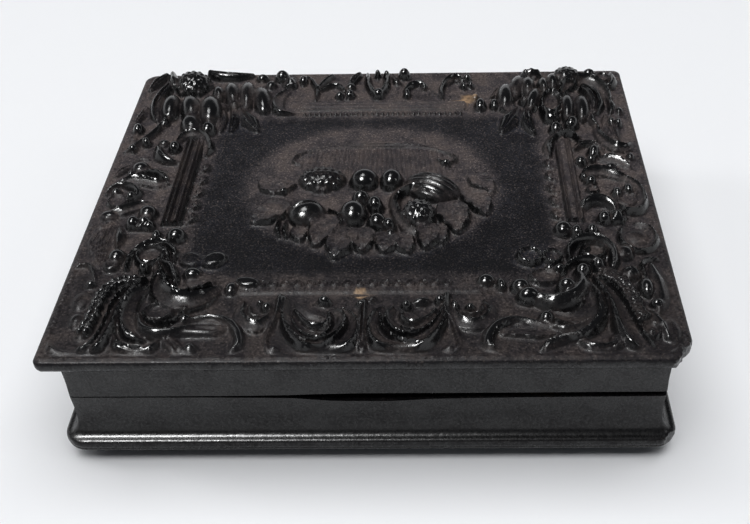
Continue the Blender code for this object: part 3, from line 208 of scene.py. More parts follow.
FRONT_LEFT_DOMES = [
    (-41.2, -37.9, 1.2, 1.15, 1.8),
    (-27.6, -29.3, 0.95, 0.9, 1.7),
    (-27.3, -31.3, 1.0, 1.1, 2.0),
    (-25.5, -37.6, 0.95, 1.3, 1.4, 15),
    (-28.0, -20.8, 1.7, 1.4, 1.6),
    (-26.4, -22.8, 2.6, 1.8, 0.7, 0, "dish"),
    (-28.8, -17.5, 2.2, 1.8, 1.2, -30, "dish"),
    (-25.1, -17.5, 2.2, 1.7, 1.3, 35, "dish"),
    (-31.6, -29.8, 2.6, 2.1, 1.5, 0, "bowl"),
    (-35.6, -16.4, 2.6, 2.5, 2.0, 0, "bowl"),
    (-36.0, -19.4, 1.0, 1.0, 2.2),
    (-32.5, -10.9, 1.75, 1.75, 2.1),
    (-35.7, -11.1, 0.9, 1.35, 1.6),
    (-41.1, -16.3, 1.55, 1.7, 1.8),
    (-41.4, -18.6, 1.4, 1.6, 1.1, 0, "dish"),
    (-43.6, -23.2, 0.9, 0.8, 1.1),
    (-44.1, -27.1, 1.5, 2.1, 0.9),
    (-43.7, -31.4, 1.2, 1.7, 1.3),
    (-45.4, -9.0, 0.6, 0.6, 0.8),
]
# Strands of small beads: seen places, rows, half spread, bead radius, height
FRONT_LEFT_STRANDS = [
    ([(-36.8, -22.3), (-39.4, -22.7), (-41.3, -25.4), (-41.7, -30.0), (-42.2, -34.6)], 2, 1.5, 0.46, 1.5),
]

FRONT_RIGHT_RIDGES = [
    ([(35.6, -22.6), (36.8, -25.2), (38.0, -28.6), (38.5, -32.4), (39.2, -35.8), (40.8, -38.2)],
     [0.7, 1.2, 1.7, 2.0, 1.8, 1.1], [1.4, 2.3, 2.6, 2.6, 2.3, 1.6], "crest_right"),
    ([(41.0, -38.2), (42.6, -39.4), (44.4, -39.1), (46.0, -37.8)],
     [0.8, 1.0, 0.9, 0.5], [1.5, 1.7, 1.5, 0.9], "round"),
    ([(34.4, -24.2), (35.5, -26.8), (35.6, -30.2), (34.3, -33.0), (32.0, -35.0), (28.8, -35.6)],
     [0.7, 1.1, 1.3, 1.3, 1.1, 0.6], [1.6, 2.3, 2.6, 2.5, 2.2, 1.5], "round"),
    ([(33.6, -26.2), (34.2, -28.8), (33.2, -31.0), (30.6, -32.0), (28.0, -31.0)],
     [0.7, 1.2, 1.4, 1.3, 0.7], [1.7, 2.1, 2.2, 2.1, 1.6], "channel"),
    ([(34.6, -31.4), (32.6, -33.4), (29.6, -34.0), (26.8, -32.8)],
     [0.5, 0.9, 1.0, 0.5], [1.6, 2.2, 2.2, 1.4], "round"),
    ([(31.6, -36.4), (33.4, -37.7), (35.4, -37.9), (37.4, -36.9), (38.2, -35.2)],
     [0.4, 0.9, 1.0, 0.9, 0.4], [0.9, 1.5, 1.6, 1.4, 0.7], "leaf"),
    ([(27.6, -33.8), (25.0, -32.6), (22.4, -31.9), (20.2, -32.6), (18.7, -34.4), (18.2, -36.8),
      (19.4, -39.0)],
     [0.6, 0.9, 1.0, 1.05, 1.05, 0.95, 0.5], [1.4, 1.7, 1.8, 1.8, 1.8, 1.5, 0.8], "round"),
    ([(28.6, -34.8), (25.6, -34.6), (22.6, -34.4), (20.4, -34.8)],
     [0.6, 1.3, 1.2, 0.6], [1.2, 1.3, 1.2, 0.9], "channel"),
    ([(31.4, -36.0), (29.0, -36.4), (27.2, -37.2), (26.0, -39.2)],
     [0.4, 0.8, 0.9, 0.5], [1.2, 1.5, 1.5, 0.9], "round"),
    ([(33.4, -21.8), (33.4, -24.2), (31.6, -26.6), (28.6, -27.6), (25.8, -26.8)],
     [0.8, 1.7, 2.0, 1.9, 1.1], [1.9, 2.7, 3.0, 2.8, 1.9], "round"),
    ([(31.0, -20.2), (32.8, -18.6), (35.2, -18.2), (37.4, -19.2)],
     [0.4, 0.8, 0.9, 0.5], [1.5, 2.1, 2.2, 1.5], "round"),
    ([(32.0, -18.0), (32.2, -15.2), (34.0, -13.1), (36.8, -12.8), (38.8, -14.8), (39.2, -17.8),
      (38.4, -20.6)],
     [0.4, 0.8, 0.95, 1.0, 1.05, 1.0, 0.5], [1.4, 2.2, 2.5, 2.6, 2.6, 2.3, 1.4], "round"),
    ([(33.8, -17.4), (35.4, -15.6)], [0.35, 0.35], [1.8, 2.0], "round"),
    ([(44.6, -19.8), (45.1, -23.4), (45.0, -27.4), (44.2, -30.4)],
     [0.7, 1.4, 1.4, 0.6], [1.0, 1.5, 1.5, 1.0], "round"),
    ([(43.4, -22.0), (43.2, -19.8), (44.2, -18.5), (45.8, -18.3)],
     [0.35, 0.5, 0.5, 0.35], [1.1, 1.5, 1.4, 0.9], "round"),
    ([(43.0, -30.6), (44.1, -33.2), (44.6, -36.0)], [0.5, 1.0, 0.6], [1.6, 2.0, 1.4], "round"),
    ([(41.6, -10.2), (41.0, -12.8), (42.4, -15.4), (44.8, -15.6), (46.4, -13.4), (45.8, -10.4),
      (43.8, -9.2)],
     [0.5, 0.8, 0.8, 0.8, 0.8, 0.7, 0.4], [1.0, 1.5, 1.5, 1.4, 1.3, 1.1, 0.8], "crest_right"),
    # thin crest lines
    ([(35.5, -24.0), (36.2, -26.0), (36.4, -28.8), (35.9, -31.4), (34.8, -33.4), (33.2, -35.0),
      (31.2, -35.8), (28.8, -36.0), (26.8, -36.8), (25.7, -38.6)],
     0.3, [2.0, 2.6, 2.9, 2.9, 2.8, 2.4, 2.0, 1.8, 1.6, 1.1], "round"),
    ([(34.8, -25.2), (35.3, -27.4), (35.3, -29.8), (34.6, -31.8), (33.4, -33.6), (31.6, -34.8)],
     0.26, [2.3, 2.8, 2.9, 2.8, 2.6, 2.1], "round"),
    ([(36.0, -22.6), (38.2, -25.2), (39.5, -28.6), (40.3, -32.0), (41.0, -35.0), (42.2, -37.4)],
     0.34, [1.8, 2.5, 2.8, 2.8, 2.5, 1.8], "round"),
    ([(30.2, -28.8), (32.2, -27.8), (33.6, -26.0)], 0.26, [2.4, 2.8, 2.4], "round"),
    ([(20.4, -38.8), (19.0, -37.8), (18.8, -36.0), (19.6, -34.0), (21.4, -32.6)],
     0.26, [1.3, 1.7, 2.0, 2.1, 2.0], "round"),
]
FRONT_RIGHT_DOMES = [
    (24.9, -26.3, 2.0, 1.6, 2.6, 10),
    (23.8, -24.2, 1.7, 1.6, 2.0),
    (27.2, -31.4, 1.3, 1.4, 2.5),
    (27.6, -22.4, 2.6, 1.9, 1.0, 0, "bowl"),
    (30.9, -24.4, 1.8, 1.5, 2.9),
    (30.2, -20.4, 1.2, 1.0, 1.8),
    (28.6, -20.2, 0.8, 0.7, 1.4),
    (25.7, -17.2, 2.3, 2.0, 1.5, -20, "bowl"),
    (29.3, -17.4, 1.7, 1.8, 1.5, 15, "bowl"),
    (33.8, -20.7, 1.4, 1.3, 2.4),
    (36.4, -19.4, 1.2, 1.4, 2.4),
    (36.0, -16.2, 2.3, 2.1, 1.9, 0, "bowl"),
    (31.8, -10.0, 1.7, 1.9, 2.0),
    (33.9, -10.8, 1.1, 1.5, 2.0),
    (36.5, -10.5, 1.1, 1.4, 1.9),
    (40.9, -16.4, 1.7, 1.8, 1.6),
    (43.5, -12.6, 2.0, 2.1, 1.0),
    (41.3, -21.4, 1.6, 1.7, 1.8, 45, "ribs"),
    (43.2, -24.7, 1.3, 2.2, 2.0),
    (44.2, -28.6, 1.2, 0.9, 1.8),
    (42.4, -34.4, 1.5, 1.9, 1.7, 0, "bowl"),
    (42.3, -34.9, 0.8, 0.9, 1.7),
    (45.3, -34.2, 1.4, 2.8, 1.3),
    (37.2, -36.2, 1.3, 1.1, 1.6, 0, "ribs"),
]
FRONT_RIGHT_STRANDS = [
    ([(36.6, -21.4), (38.9, -22.9), (40.2, -26.2), (40.9, -30.4), (41.6, -32.0)], 3, 1.9, 0.46, 1.5),
]

FRONT_CENTRE_RIDGES = [
    # left scroll of the pair
    ([(-12.4, -27.0), (-12.3, -30.6), (-11.2, -33.8), (-9.0, -36.4), (-5.6, -37.4), (-2.6, -36.6),
      (-1.5, -34.0), (-2.0, -31.2), (-3.6, -29.6)],
     [0.5, 0.8, 1.1, 1.4, 1.6, 1.3, 0.95, 0.75, 0.4],
     [1.3, 2.0, 2.5, 2.7, 2.7, 2.5, 2.3, 1.9, 1.2], "crest_right"),
    ([(-11.0, -31.2), (-9.8, -33.6), (-7.6, -35.2), (-5.2, -35.0), (-3.7, -33.0), (-3.6, -31.0),
      (-4.8, -29.6)],
     [0.4, 0.8, 1.0, 1.0, 0.85, 0.7, 0.4], [1.5, 2.1, 2.4, 2.4, 2.2, 1.8, 1.2], "crest_right"),
    ([(-10.8, -29.6), (-9.4, -31.8), (-7.6, -33.0), (-6.0, -32.6), (-5.3, -31.2), (-5.6, -30.0)],
     [0.35, 0.6, 0.7, 0.6, 0.5, 0.3], [1.4, 1.8, 1.9, 1.8, 1.5, 1.1], "round"),
    ([(-10.8, -28.4), (-8.6, -30.4), (-6.6, -31.2)], [0.5, 0.9, 0.5], [0.8, 0.8, 0.6], "round"),
    # right scroll of the pair
    ([(11.9, -27.4), (11.6, -31.0), (10.2, -34.4), (7.8, -36.8), (4.6, -37.4), (2.0, -36.2),
      (0.9, -33.4), (1.3, -30.6), (2.6, -29.4)],
     [0.5, 0.9, 1.3, 1.6, 1.6, 1.3, 0.95, 0.75, 0.4],
     [1.3, 2.2, 2.6, 2.8, 2.7, 2.5, 2.3, 1.9, 1.2], "crest_left"),
    ([(10.4, -31.0), (9.0, -33.2), (7.0, -34.4), (4.9, -33.9), (3.5, -32.0), (3.4, -30.4),
      (4.2, -29.4)],
     [0.4, 0.8, 1.0, 0.95, 0.8, 0.65, 0.4], [1.6, 2.1, 2.4, 2.4, 2.1, 1.7, 1.2], "crest_left"),
    ([(10.6, -29.8), (9.2, -31.6), (7.2, -32.4), (5.7, -31.6), (5.3, -30.2)],
     [0.4, 0.7, 0.8, 0.6, 0.3], [1.5, 1.9, 1.9, 1.6, 1.1], "round"),
    # thin crest lines of the pair
    ([(-11.6, -33.0), (-10.2, -35.1), (-8.4, -36.1), (-6.6, -35.7), (-5.3, -34.0), (-5.0, -32.2),
      (-5.6, -30.6)], 0.27, [2.2, 2.6, 2.8, 2.8, 2.7, 2.4, 1.9], "round"),
    ([(-8.8, -37.0), (-6.6, -37.3), (-4.7, -36.1), (-3.4, -34.0), (-2.8, -31.9), (-3.6, -30.0)],
     0.27, [2.4, 2.8, 2.9, 2.8, 2.5, 1.9], "round"),
    ([(2.1, -30.4), (2.4, -32.8), (3.7, -34.9), (5.9, -36.3), (8.4, -36.8)],
     0.27, [2.0, 2.5, 2.8, 2.9, 2.6], "round"),
    ([(5.4, -33.6), (6.9, -34.4), (8.6, -34.2), (9.8, -33.1), (10.9, -31.2), (11.8, -28.8)],
     0.27, [2.3, 2.7, 2.7, 2.5, 2.2, 1.8], "round"),
    # centre spike
    ([(-0.4, -27.6), (-0.5, -31.0), (-0.5, -34.6), (-0.3, -37.0), (-0.1, -38.8)],
     [0.5, 0.7, 0.75, 0.75, 0.3], [1.2, 1.8, 2.0, 1.5, 0.6], "leaf"),
    # small outer scrolls
    ([(-18.9, -27.9), (-19.2, -30.1), (-18.3, -32.0), (-16.5, -32.8), (-14.9, -32.0), (-14.2, -30.2),
      (-14.4, -28.4)],
     [0.5, 0.9, 1.15, 1.25, 1.0, 0.7, 0.4], [1.0, 1.5, 1.9, 2.0, 1.8, 1.4, 1.0], "crest_left"),
    ([(-17.8, -28.8), (-17.6, -30.4), (-16.2, -31.0)], [0.35, 0.5, 0.4], [1.1, 1.3, 1.2], "round"),
    ([(13.0, -27.8), (13.1, -30.2), (14.4, -32.2), (16.6, -32.7), (18.5, -31.5), (19.0, -29.4),
      (18.1, -27.9)],
     [0.5, 0.8, 1.15, 1.25, 1.1, 0.8, 0.5], [1.2, 1.6, 2.0, 2.0, 1.8, 1.4, 0.9], "crest_left"),
    ([(14.6, -30.3), (16.0, -30.9), (17.5, -30.2), (17.7, -28.8)],
     [0.35, 0.5, 0.5, 0.35], [1.1, 1.4, 1.4, 1.1], "round"),
    # stems with curled ends
    ([(-13.3, -26.6), (-13.4, -30.0), (-14.1, -33.2), (-14.5, -35.9), (-14.2, -37.6), (-13.3, -38.6),
      (-12.3, -38.0)],
     [0.8, 0.75, 0.55, 0.45, 0.45, 0.4, 0.3], [1.7, 1.7, 1.2, 0.9, 0.9, 0.9, 0.7], "round"),
    ([(12.3, -26.4), (12.3, -29.6), (13.2, -32.8), (13.9, -35.9), (13.9, -37.6), (12.9, -38.7),
      (11.7, -38.2)],
     [0.8, 0.7, 0.5, 0.45, 0.45, 0.4, 0.3], [1.7, 1.7, 1.2, 0.9, 0.9, 0.9, 0.7], "round"),
]
FRONT_CENTRE_DOMES = [
    (-6.5, -27.4, 1.2, 0.9, 1.7, -15),
    (-15.2, -28.8, 1.0, 1.0, 1.7),
    (-16.3, -27.9, 0.5, 0.6, 1.3),
    (6.1, -28.5, 0.95, 0.95, 1.9),
    (8.4, -27.8, 1.7, 0.9, 1.3, 10),
    (11.2, -27.4, 0.9, 0.9, 1.8),
    (13.5, -28.7, 0.7, 1.0, 1.9),
    (15.8, -29.1, 0.85, 0.8, 1.5),
    (-13.2, -37.9, 0.75, 0.7, 1.1),
    (12.6, -37.9, 0.75, 0.7, 1.1),
    (-1.0, -28.2, 0.7, 0.7, 1.3),
    (0.9, -27.2, 0.9, 0.6, 0.9, 30),
    # buds at the ends of the bottom bar
    (-19.0, -23.1, 2.1, 1.2, 1.3, -10, "dish"),
    (-21.3, -24.4, 1.1, 1.5, 1.2),
    (18.5, -22.7, 1.5, 1.4, 1.5, 0, "ribs"),
    (20.8, -23.9, 0.8, 1.5, 1.4, 10),
]

CENTRE_RIDGES = [
    # basket rim, a thin line over a thinner one
    ([(-13.6, 8.8), (-14.9, 9.6), (-14.6, 11.4), (-12.4, 12.8), (-8.6, 13.9), (-4.0, 14.7), (0.6, 14.9),
      (5.4, 14.6), (9.6, 13.6), (12.6, 11.9), (14.3, 10.6), (14.0, 9.2), (12.2, 8.6)],
     [0.25, 0.35, 0.4, 0.4, 0.4, 0.4, 0.4, 0.4, 0.4, 0.4, 0.45, 0.45, 0.3],
     [0.6, 0.8, 0.8, 0.8, 0.8, 0.8, 0.8, 0.8, 0.8, 0.8, 0.9, 1.0, 0.8], "round"),
    ([(-13.6, 10.6), (-11.8, 11.8), (-8.2, 12.9), (-4.0, 13.6), (0.6, 13.8), (5.2, 13.5), (9.2, 12.5),
      (12.0, 11.0)],
     [0.2, 0.25, 0.25, 0.25, 0.25, 0.25, 0.25, 0.2], [0.4, 0.5, 0.5, 0.5, 0.5, 0.5, 0.5, 0.4], "round"),
    # husk round the strawberry
    ([(11.2, 1.0), (8.4, 2.2), (5.6, 1.6), (3.8, -0.6), (3.8, -4.0), (4.8, -7.4), (6.2, -10.0),
      (8.2, -11.2)],
     [0.5, 1.1, 1.3, 1.0, 0.9, 0.9, 0.9, 0.5], [1.6, 2.3, 2.4, 2.1, 2.0, 1.9, 1.7, 1.1], "crest_left"),
    # curled edge beside the left leaf
    ([(-7.4, -4.8), (-5.6, -6.0), (-4.9, -8.0), (-5.4, -10.0), (-6.6, -10.8)],
     [0.4, 0.7, 0.8, 0.8, 0.4], [1.5, 2.0, 2.1, 1.9, 1.2], "crest_right"),
    # small stalks and tendrils
    ([(-19.6, 4.8), (-18.2, 2.6), (-17.1, 0.8)], [0.25, 0.35, 0.25], [0.5, 0.7, 0.5], "round"),
    ([(20.9, 3.0), (20.9, 0.6), (19.8, -2.0)], [0.25, 0.4, 0.25], [0.5, 0.8, 0.5], "round"),
    ([(13.0, 8.2), (11.6, 9.2), (11.0, 10.0)], [0.4, 0.5, 0.3], [1.2, 1.3, 0.8], "round"),
    ([(-15.6, -7.0), (-15.8, -9.4), (-15.2, -11.6)], [0.3, 0.5, 0.3], [1.0, 1.5, 1.0], "round"),
    ([(-14.4, -7.6), (-14.6, -9.8), (-14.0, -12.0)], [0.3, 0.45, 0.3], [1.0, 1.5, 1.0], "round"),
]
# Leaves: seen foot, seen tip, half width, height, veins, bend
CENTRE_LEAVES = [
    ((-14.4, -1.8), (-20.8, -7.6), 2.7, 1.8, 3, 0.10),
    ((-16.2, 0.6), (-20.2, 5.6), 2.3, 1.2, 3, 0.10),
    ((-13.8, 3.6), (-18.2, 0.2), 1.6, 1.4, 3, -0.10),
    ((-7.6, -5.2), (-9.4, -14.0), 2.8, 2.0, 3, 0.12),
    ((-2.8, -9.2), (-6.0, -17.0), 2.8, 1.9, 3, -0.12),
    ((-2.4, -9.2), (-1.4, -15.4), 2.6, 2.1, 3, 0.12),
    ((2.8, -10.4), (2.0, -15.8), 2.3, 1.7, 3, 0.10),
    ((4.2, -10.8), (6.4, -16.0), 2.1, 1.6, 3, 0.05),
    ((9.2, -8.0), (8.8, -14.8), 2.2, 1.9, 3, 0.15),
    ((10.8, -8.4), (12.0, -13.6), 1.9, 1.8, 3, -0.10),
    ((12.2, -2.0), (14.4, -10.6), 3.0, 2.2, 3, 0.10),
    ((15.4, 0.6), (19.4, -6.0), 2.5, 1.9, 3, 0.20),
    ((16.8, 5.4), (20.6, 0.4), 2.2, 1.3, 3, 0.10),
    ((-12.4, -9.0), (-11.6, -12.8), 1.7, 1.6, 2, 0.0),
]
CENTRE_DOMES = [
    (-9.4, 5.0, 4.3, 3.2, 2.3, 0, "berry"),
    (-1.9, 4.8, 2.7, 2.6, 2.8),
    (2.9, 4.6, 2.2, 2.6, 2.8),
    (10.0, 2.6, 5.2, 3.7, 3.0, -25, "melon"),
    (-11.4, -4.6, 3.4, 3.3, 3.0, 20, "cleft"),
    (-3.4, -4.8, 2.5, 3.0, 3.0, 8),
    (-2.2, -1.2, 1.8, 1.6, 2.7),
    (0.2, -2.9, 1.6, 1.9, 2.7, 15),
    (0.8, -7.6, 1.8, 1.9, 2.5, 25),
    (2.8, -8.7, 1.3, 1.5, 2.3, 20),
    (3.2, -11.3, 1.0, 1.1, 1.7),
    (7.8, -5.2, 3.0, 3.4, 3.15, 10, "berry"),
    (-15.9, 0.8, 0.8, 0.8, 1.3),
    (-17.0, 2.6, 0.7, 0.7, 1.0),
    (12.6, 8.9, 0.9, 0.7, 1.5, 30),
]

LEFT_SIDE_RIDGES = [
    ([(-43.2, 5.8), (-41.0, 7.2), (-38.8, 7.1), (-37.0, 5.4), (-36.0, 3.2)],
     [0.5, 1.0, 1.3, 1.2, 0.5], [1.0, 1.6, 2.1, 1.9, 0.9], "crest_right"),
    ([(-45.4, 3.0), (-43.4, 4.6), (-41.0, 4.4), (-38.6, 3.5), (-36.6, 3.0)],
     [0.4, 0.9, 1.0, 0.9, 0.4], [1.1, 1.9, 1.9, 1.6, 0.8], "crest_left"),
    ([(-46.7, 0.0), (-46.2, 2.2), (-44.6, 3.2), (-42.6, 2.6), (-41.3, 0.9), (-41.4, -1.0)],
     [0.4, 0.7, 0.75, 0.8, 0.75, 0.4], [0.8, 1.3, 1.4, 1.7, 1.6, 0.9], "round"),
    ([(-44.6, -5.2), (-43.0, -4.2), (-41.4, -3.4), (-39.8, -2.6), (-38.0, -2.8)],
     [0.5, 1.0, 1.0, 0.8, 0.4], [1.0, 1.7, 1.6, 1.2, 0.7], "crest_left"),
    ([(-40.6, 14.6), (-39.8, 12.6), (-38.4, 11.0), (-36.6, 9.9), (-35.6, 9.8)],
     [0.7, 1.3, 1.0, 0.7, 0.3], [1.4, 2.1, 1.8, 1.2, 0.7], "round"),
    ([(-37.3, 15.4), (-37.0, 17.6), (-35.8, 19.2), (-33.8, 19.2), (-32.2, 17.4), (-31.3, 14.8),
      (-31.2, 12.0)],
     [0.4, 0.6, 0.75, 0.9, 1.1, 1.1, 0.5], [1.0, 1.6, 2.0, 2.3, 2.3, 1.9, 0.9], "crest_left"),
    ([(-41.5, 22.8), (-42.2, 20.2), (-43.4, 17.8), (-45.0, 15.4), (-46.4, 13.2)],
     [0.5, 0.9, 0.8, 0.8, 0.5], [1.2, 1.5, 1.3, 1.2, 0.8], "round"),
    ([(-44.4, 9.6), (-43.0, 10.9), (-41.4, 10.6)], [0.35, 0.5, 0.35], [0.6, 0.8, 0.6], "round"),
    ([(-46.4, 5.6), (-45.4, 7.6), (-44.0, 8.8)], [0.5, 0.9, 0.4], [0.7, 1.0, 0.7], "leaf"),
]
LEFT_SIDE_DOMES = [
    (-42.5, 8.4, 1.7, 1.8, 1.7, 20),
    (-43.7, 6.2, 0.8, 0.9, 1.5),
    (-45.2, 1.0, 0.9, 1.1, 1.4),
    (-42.3, -0.2, 0.95, 1.1, 1.8),
    (-44.3, -1.8, 1.9, 1.9, 1.0, 0, "bowl"),
    (-44.9, -5.6, 1.7, 1.4, 1.1),
    (-38.5, -4.7, 1.7, 1.9, 1.9, 10),
    (-40.4, -7.5, 1.35, 1.5, 2.1),
    (-38.5, -7.6, 1.3, 1.4, 1.9, 0, "berry"),
    (-37.4, -8.5, 1.0, 1.1, 1.6),
    (-45.7, 21.3, 1.1, 1.5, 1.8),
    (-43.2, 16.7, 0.95, 1.2, 1.8, 20),
    (-45.3, 14.6, 0.9, 1.0, 1.5, 20),
    (-37.6, 15.1, 1.25, 1.5, 2.0),
    (-39.7, 16.0, 1.3, 1.1, 1.3),
    (-45.9, 17.8, 0.9, 1.3, 0.8),
]

RIGHT_SIDE_RIDGES = [
    ([(36.4, 3.6), (37.2, 5.4), (38.8, 6.2), (40.8, 5.9), (42.8, 4.7), (44.6, 3.4)],
     [0.5, 0.9, 1.15, 1.1, 0.9, 0.4], [1.0, 1.8, 2.1, 2.0, 1.7, 0.9], "crest_left"),
    ([(44.2, 3.8), (45.6, 1.8), (46.3, -0.8), (46.0, -3.4), (44.8, -5.0), (43.0, -5.0), (41.6, -3.6)],
     [0.5, 0.8, 0.8, 0.9, 1.1, 1.1, 0.5], [1.2, 1.5, 1.5, 1.7, 1.9, 1.8, 1.0], "crest_left"),
    ([(35.4, -5.2), (36.0, -3.4), (37.4, -2.2), (39.2, -2.2), (40.6, -3.6), (41.0, -5.6)],
     [0.5, 1.0, 1.3, 1.3, 1.0, 0.5], [1.1, 1.9, 2.2, 2.2, 1.8, 1.0], "round"),
    ([(31.2, 10.8), (31.4, 14.2), (32.6, 17.0), (34.6, 18.5), (36.4, 18.2), (37.3, 16.4), (37.2, 14.6)],
     [0.5, 1.0, 1.05, 0.95, 0.8, 0.65, 0.4], [1.0, 2.0, 2.3, 2.4, 2.2, 1.8, 1.0], "crest_right"),
    ([(40.9, 22.0), (41.0, 18.6), (42.0, 15.6), (43.8, 13.6), (45.8, 13.4), (46.6, 14.6)],
     [0.4, 0.8, 1.0, 1.1, 0.9, 0.4], [1.1, 1.6, 1.9, 2.0, 1.6, 0.9], "crest_left"),
    ([(43.0, 23.4), (43.4, 19.4), (44.0, 15.8)], [0.6, 1.7, 0.9], [1.0, 1.2, 1.0], "leaf"),
    ([(40.4, 9.6), (42.2, 10.0), (44.0, 8.8), (45.2, 7.0)],
     [0.5, 1.0, 0.9, 0.4], [1.2, 1.7, 1.5, 0.9], "crest_left"),
    ([(36.0, 12.8), (37.4, 14.4), (39.4, 14.6), (41.2, 12.8)],
     [0.5, 0.8, 0.8, 0.4], [1.0, 1.4, 1.4, 0.9], "leaf"),
]
RIGHT_SIDE_DOMES = [
    (37.9, 3.2, 1.1, 1.2, 1.8),
    (36.8, 4.2, 0.6, 0.9, 1.6),
    (42.0, -0.3, 0.95, 1.4, 1.7, 10),
    (44.0, 0.6, 0.95, 1.4, 1.8, 10),
    (43.4, -2.4, 2.0, 2.2, 1.1, 0, "bowl"),
    (38.9, -7.2, 1.25, 1.5, 2.1),
    (41.0, -7.0, 1.35, 1.7, 1.9, 0, "berry"),
    (39.5, 12.4, 1.2, 1.9, 2.1, -10),
    (36.8, 9.2, 1.2, 1.3, 1.6),
    (38.7, 9.8, 0.9, 1.0, 1.5),
    (41.9, 7.2, 1.2, 1.1, 1.3),
    (37.9, 0.4, 1.2, 1.0, 1.1, 0, "bowl"),
    (43.9, 21.8, 0.85, 1.1, 1.9),
    (45.2, 21.6, 0.8, 1.1, 1.8),
    (45.8, 10.4, 0.8, 1.1, 1.1),
    (45.9, 25.6, 0.9, 1.3, 1.1),
]

BACK_LEFT_RIDGES = [
    ([(-41.6, 38.6), (-43.2, 34.8), (-43.9, 30.6), (-43.4, 26.4), (-42.4, 23.6)],
     [0.6, 1.2, 1.4, 1.1, 0.4], [1.6, 2.0, 2.0, 1.6, 0.9], "leaf"),
    ([(-41.2, 25.6), (-41.0, 23.4), (-41.0, 21.6)], [0.6, 0.9, 0.4], [1.5, 1.8, 1.0], "round"),
    ([(-30.6, 27.6), (-30.2, 24.0), (-29.8, 19.8)], [0.6, 1.3, 0.4], [1.1, 1.5, 0.8], "leaf"),
    ([(-28.4, 27.6), (-27.6, 23.8), (-27.8, 19.8)], [0.6, 1.1, 0.4], [1.1, 1.5, 0.8], "leaf"),
    ([(-26.8, 27.2), (-25.0, 23.8), (-22.8, 20.0)], [0.7, 1.8, 0.5], [1.2, 1.6, 0.8], "leaf"),
    ([(-18.6, 34.2), (-20.0, 31.8), (-20.2, 29.0), (-19.0, 26.8), (-16.4, 25.8)],
     [0.6, 1.2, 1.4, 1.1, 0.4], [1.0, 1.6, 1.8, 1.5, 0.7], "crest_right"),
    ([(-46.2, 35.0), (-45.4, 38.2), (-44.0, 40.4)], [0.5, 1.2, 0.9], [0.9, 1.5, 1.6], "leaf"),
    ([(-42.8, 41.0), (-42.2, 38.6), (-41.6, 36.2)], [0.9, 1.3, 0.7], [2.2, 2.6, 2.0], "round"),
    ([(-35.2, 41.4), (-32.8, 40.6), (-29.4, 40.2), (-26.4, 40.4)],
     [0.7, 1.2, 1.2, 0.6], [2.0, 2.0, 1.7, 1.0], "leaf"),
    ([(-45.6, 28.4), (-46.0, 25.4), (-46.6, 22.8)], [0.5, 0.9, 0.4], [0.9, 1.1, 0.7], "leaf"),
]
BACK_LEFT_DOMES = [
    (-41.0, 29.4, 2.0, 4.4, 2.7, 4),
    (-37.0, 29.0, 2.2, 4.8, 3.1, 14),
    (-33.2, 28.4, 2.5, 4.9, 3.3, 8),
    (-32.2, 33.4, 1.5, 3.0, 2.8, 14),
    (-29.6, 33.8, 1.8, 4.6, 2.8, 12),
    (-26.6, 33.6, 1.9, 5.0, 2.7, 6),
    (-23.4, 31.8, 2.0, 4.8, 2.4, 12),
    (-36.0, 23.0, 2.1, 3.4, 2.5, 18),
    (-38.4, 38.6, 3.6, 3.7, 3.25, 0, "berry"),
    (-32.4, 21.2, 1.6, 1.9, 2.3),
    (-28.4, 29.2, 1.5, 1.5, 1.9),
    (-30.8, 28.4, 1.4, 1.4, 1.7),
    (-24.2, 39.4, 1.4, 1.2, 1.5),
    (-20.3, 40.2, 1.6, 1.6, 2.4),
    (-18.3, 37.4, 1.3, 2.0, 1.6, 10, "berry"),
    (-15.8, 38.4, 1.1, 1.4, 1.8),
    (-44.9, 33.2, 1.2, 1.7, 1.1),
    (-22.2, 36.6, 1.2, 1.4, 1.3),
]

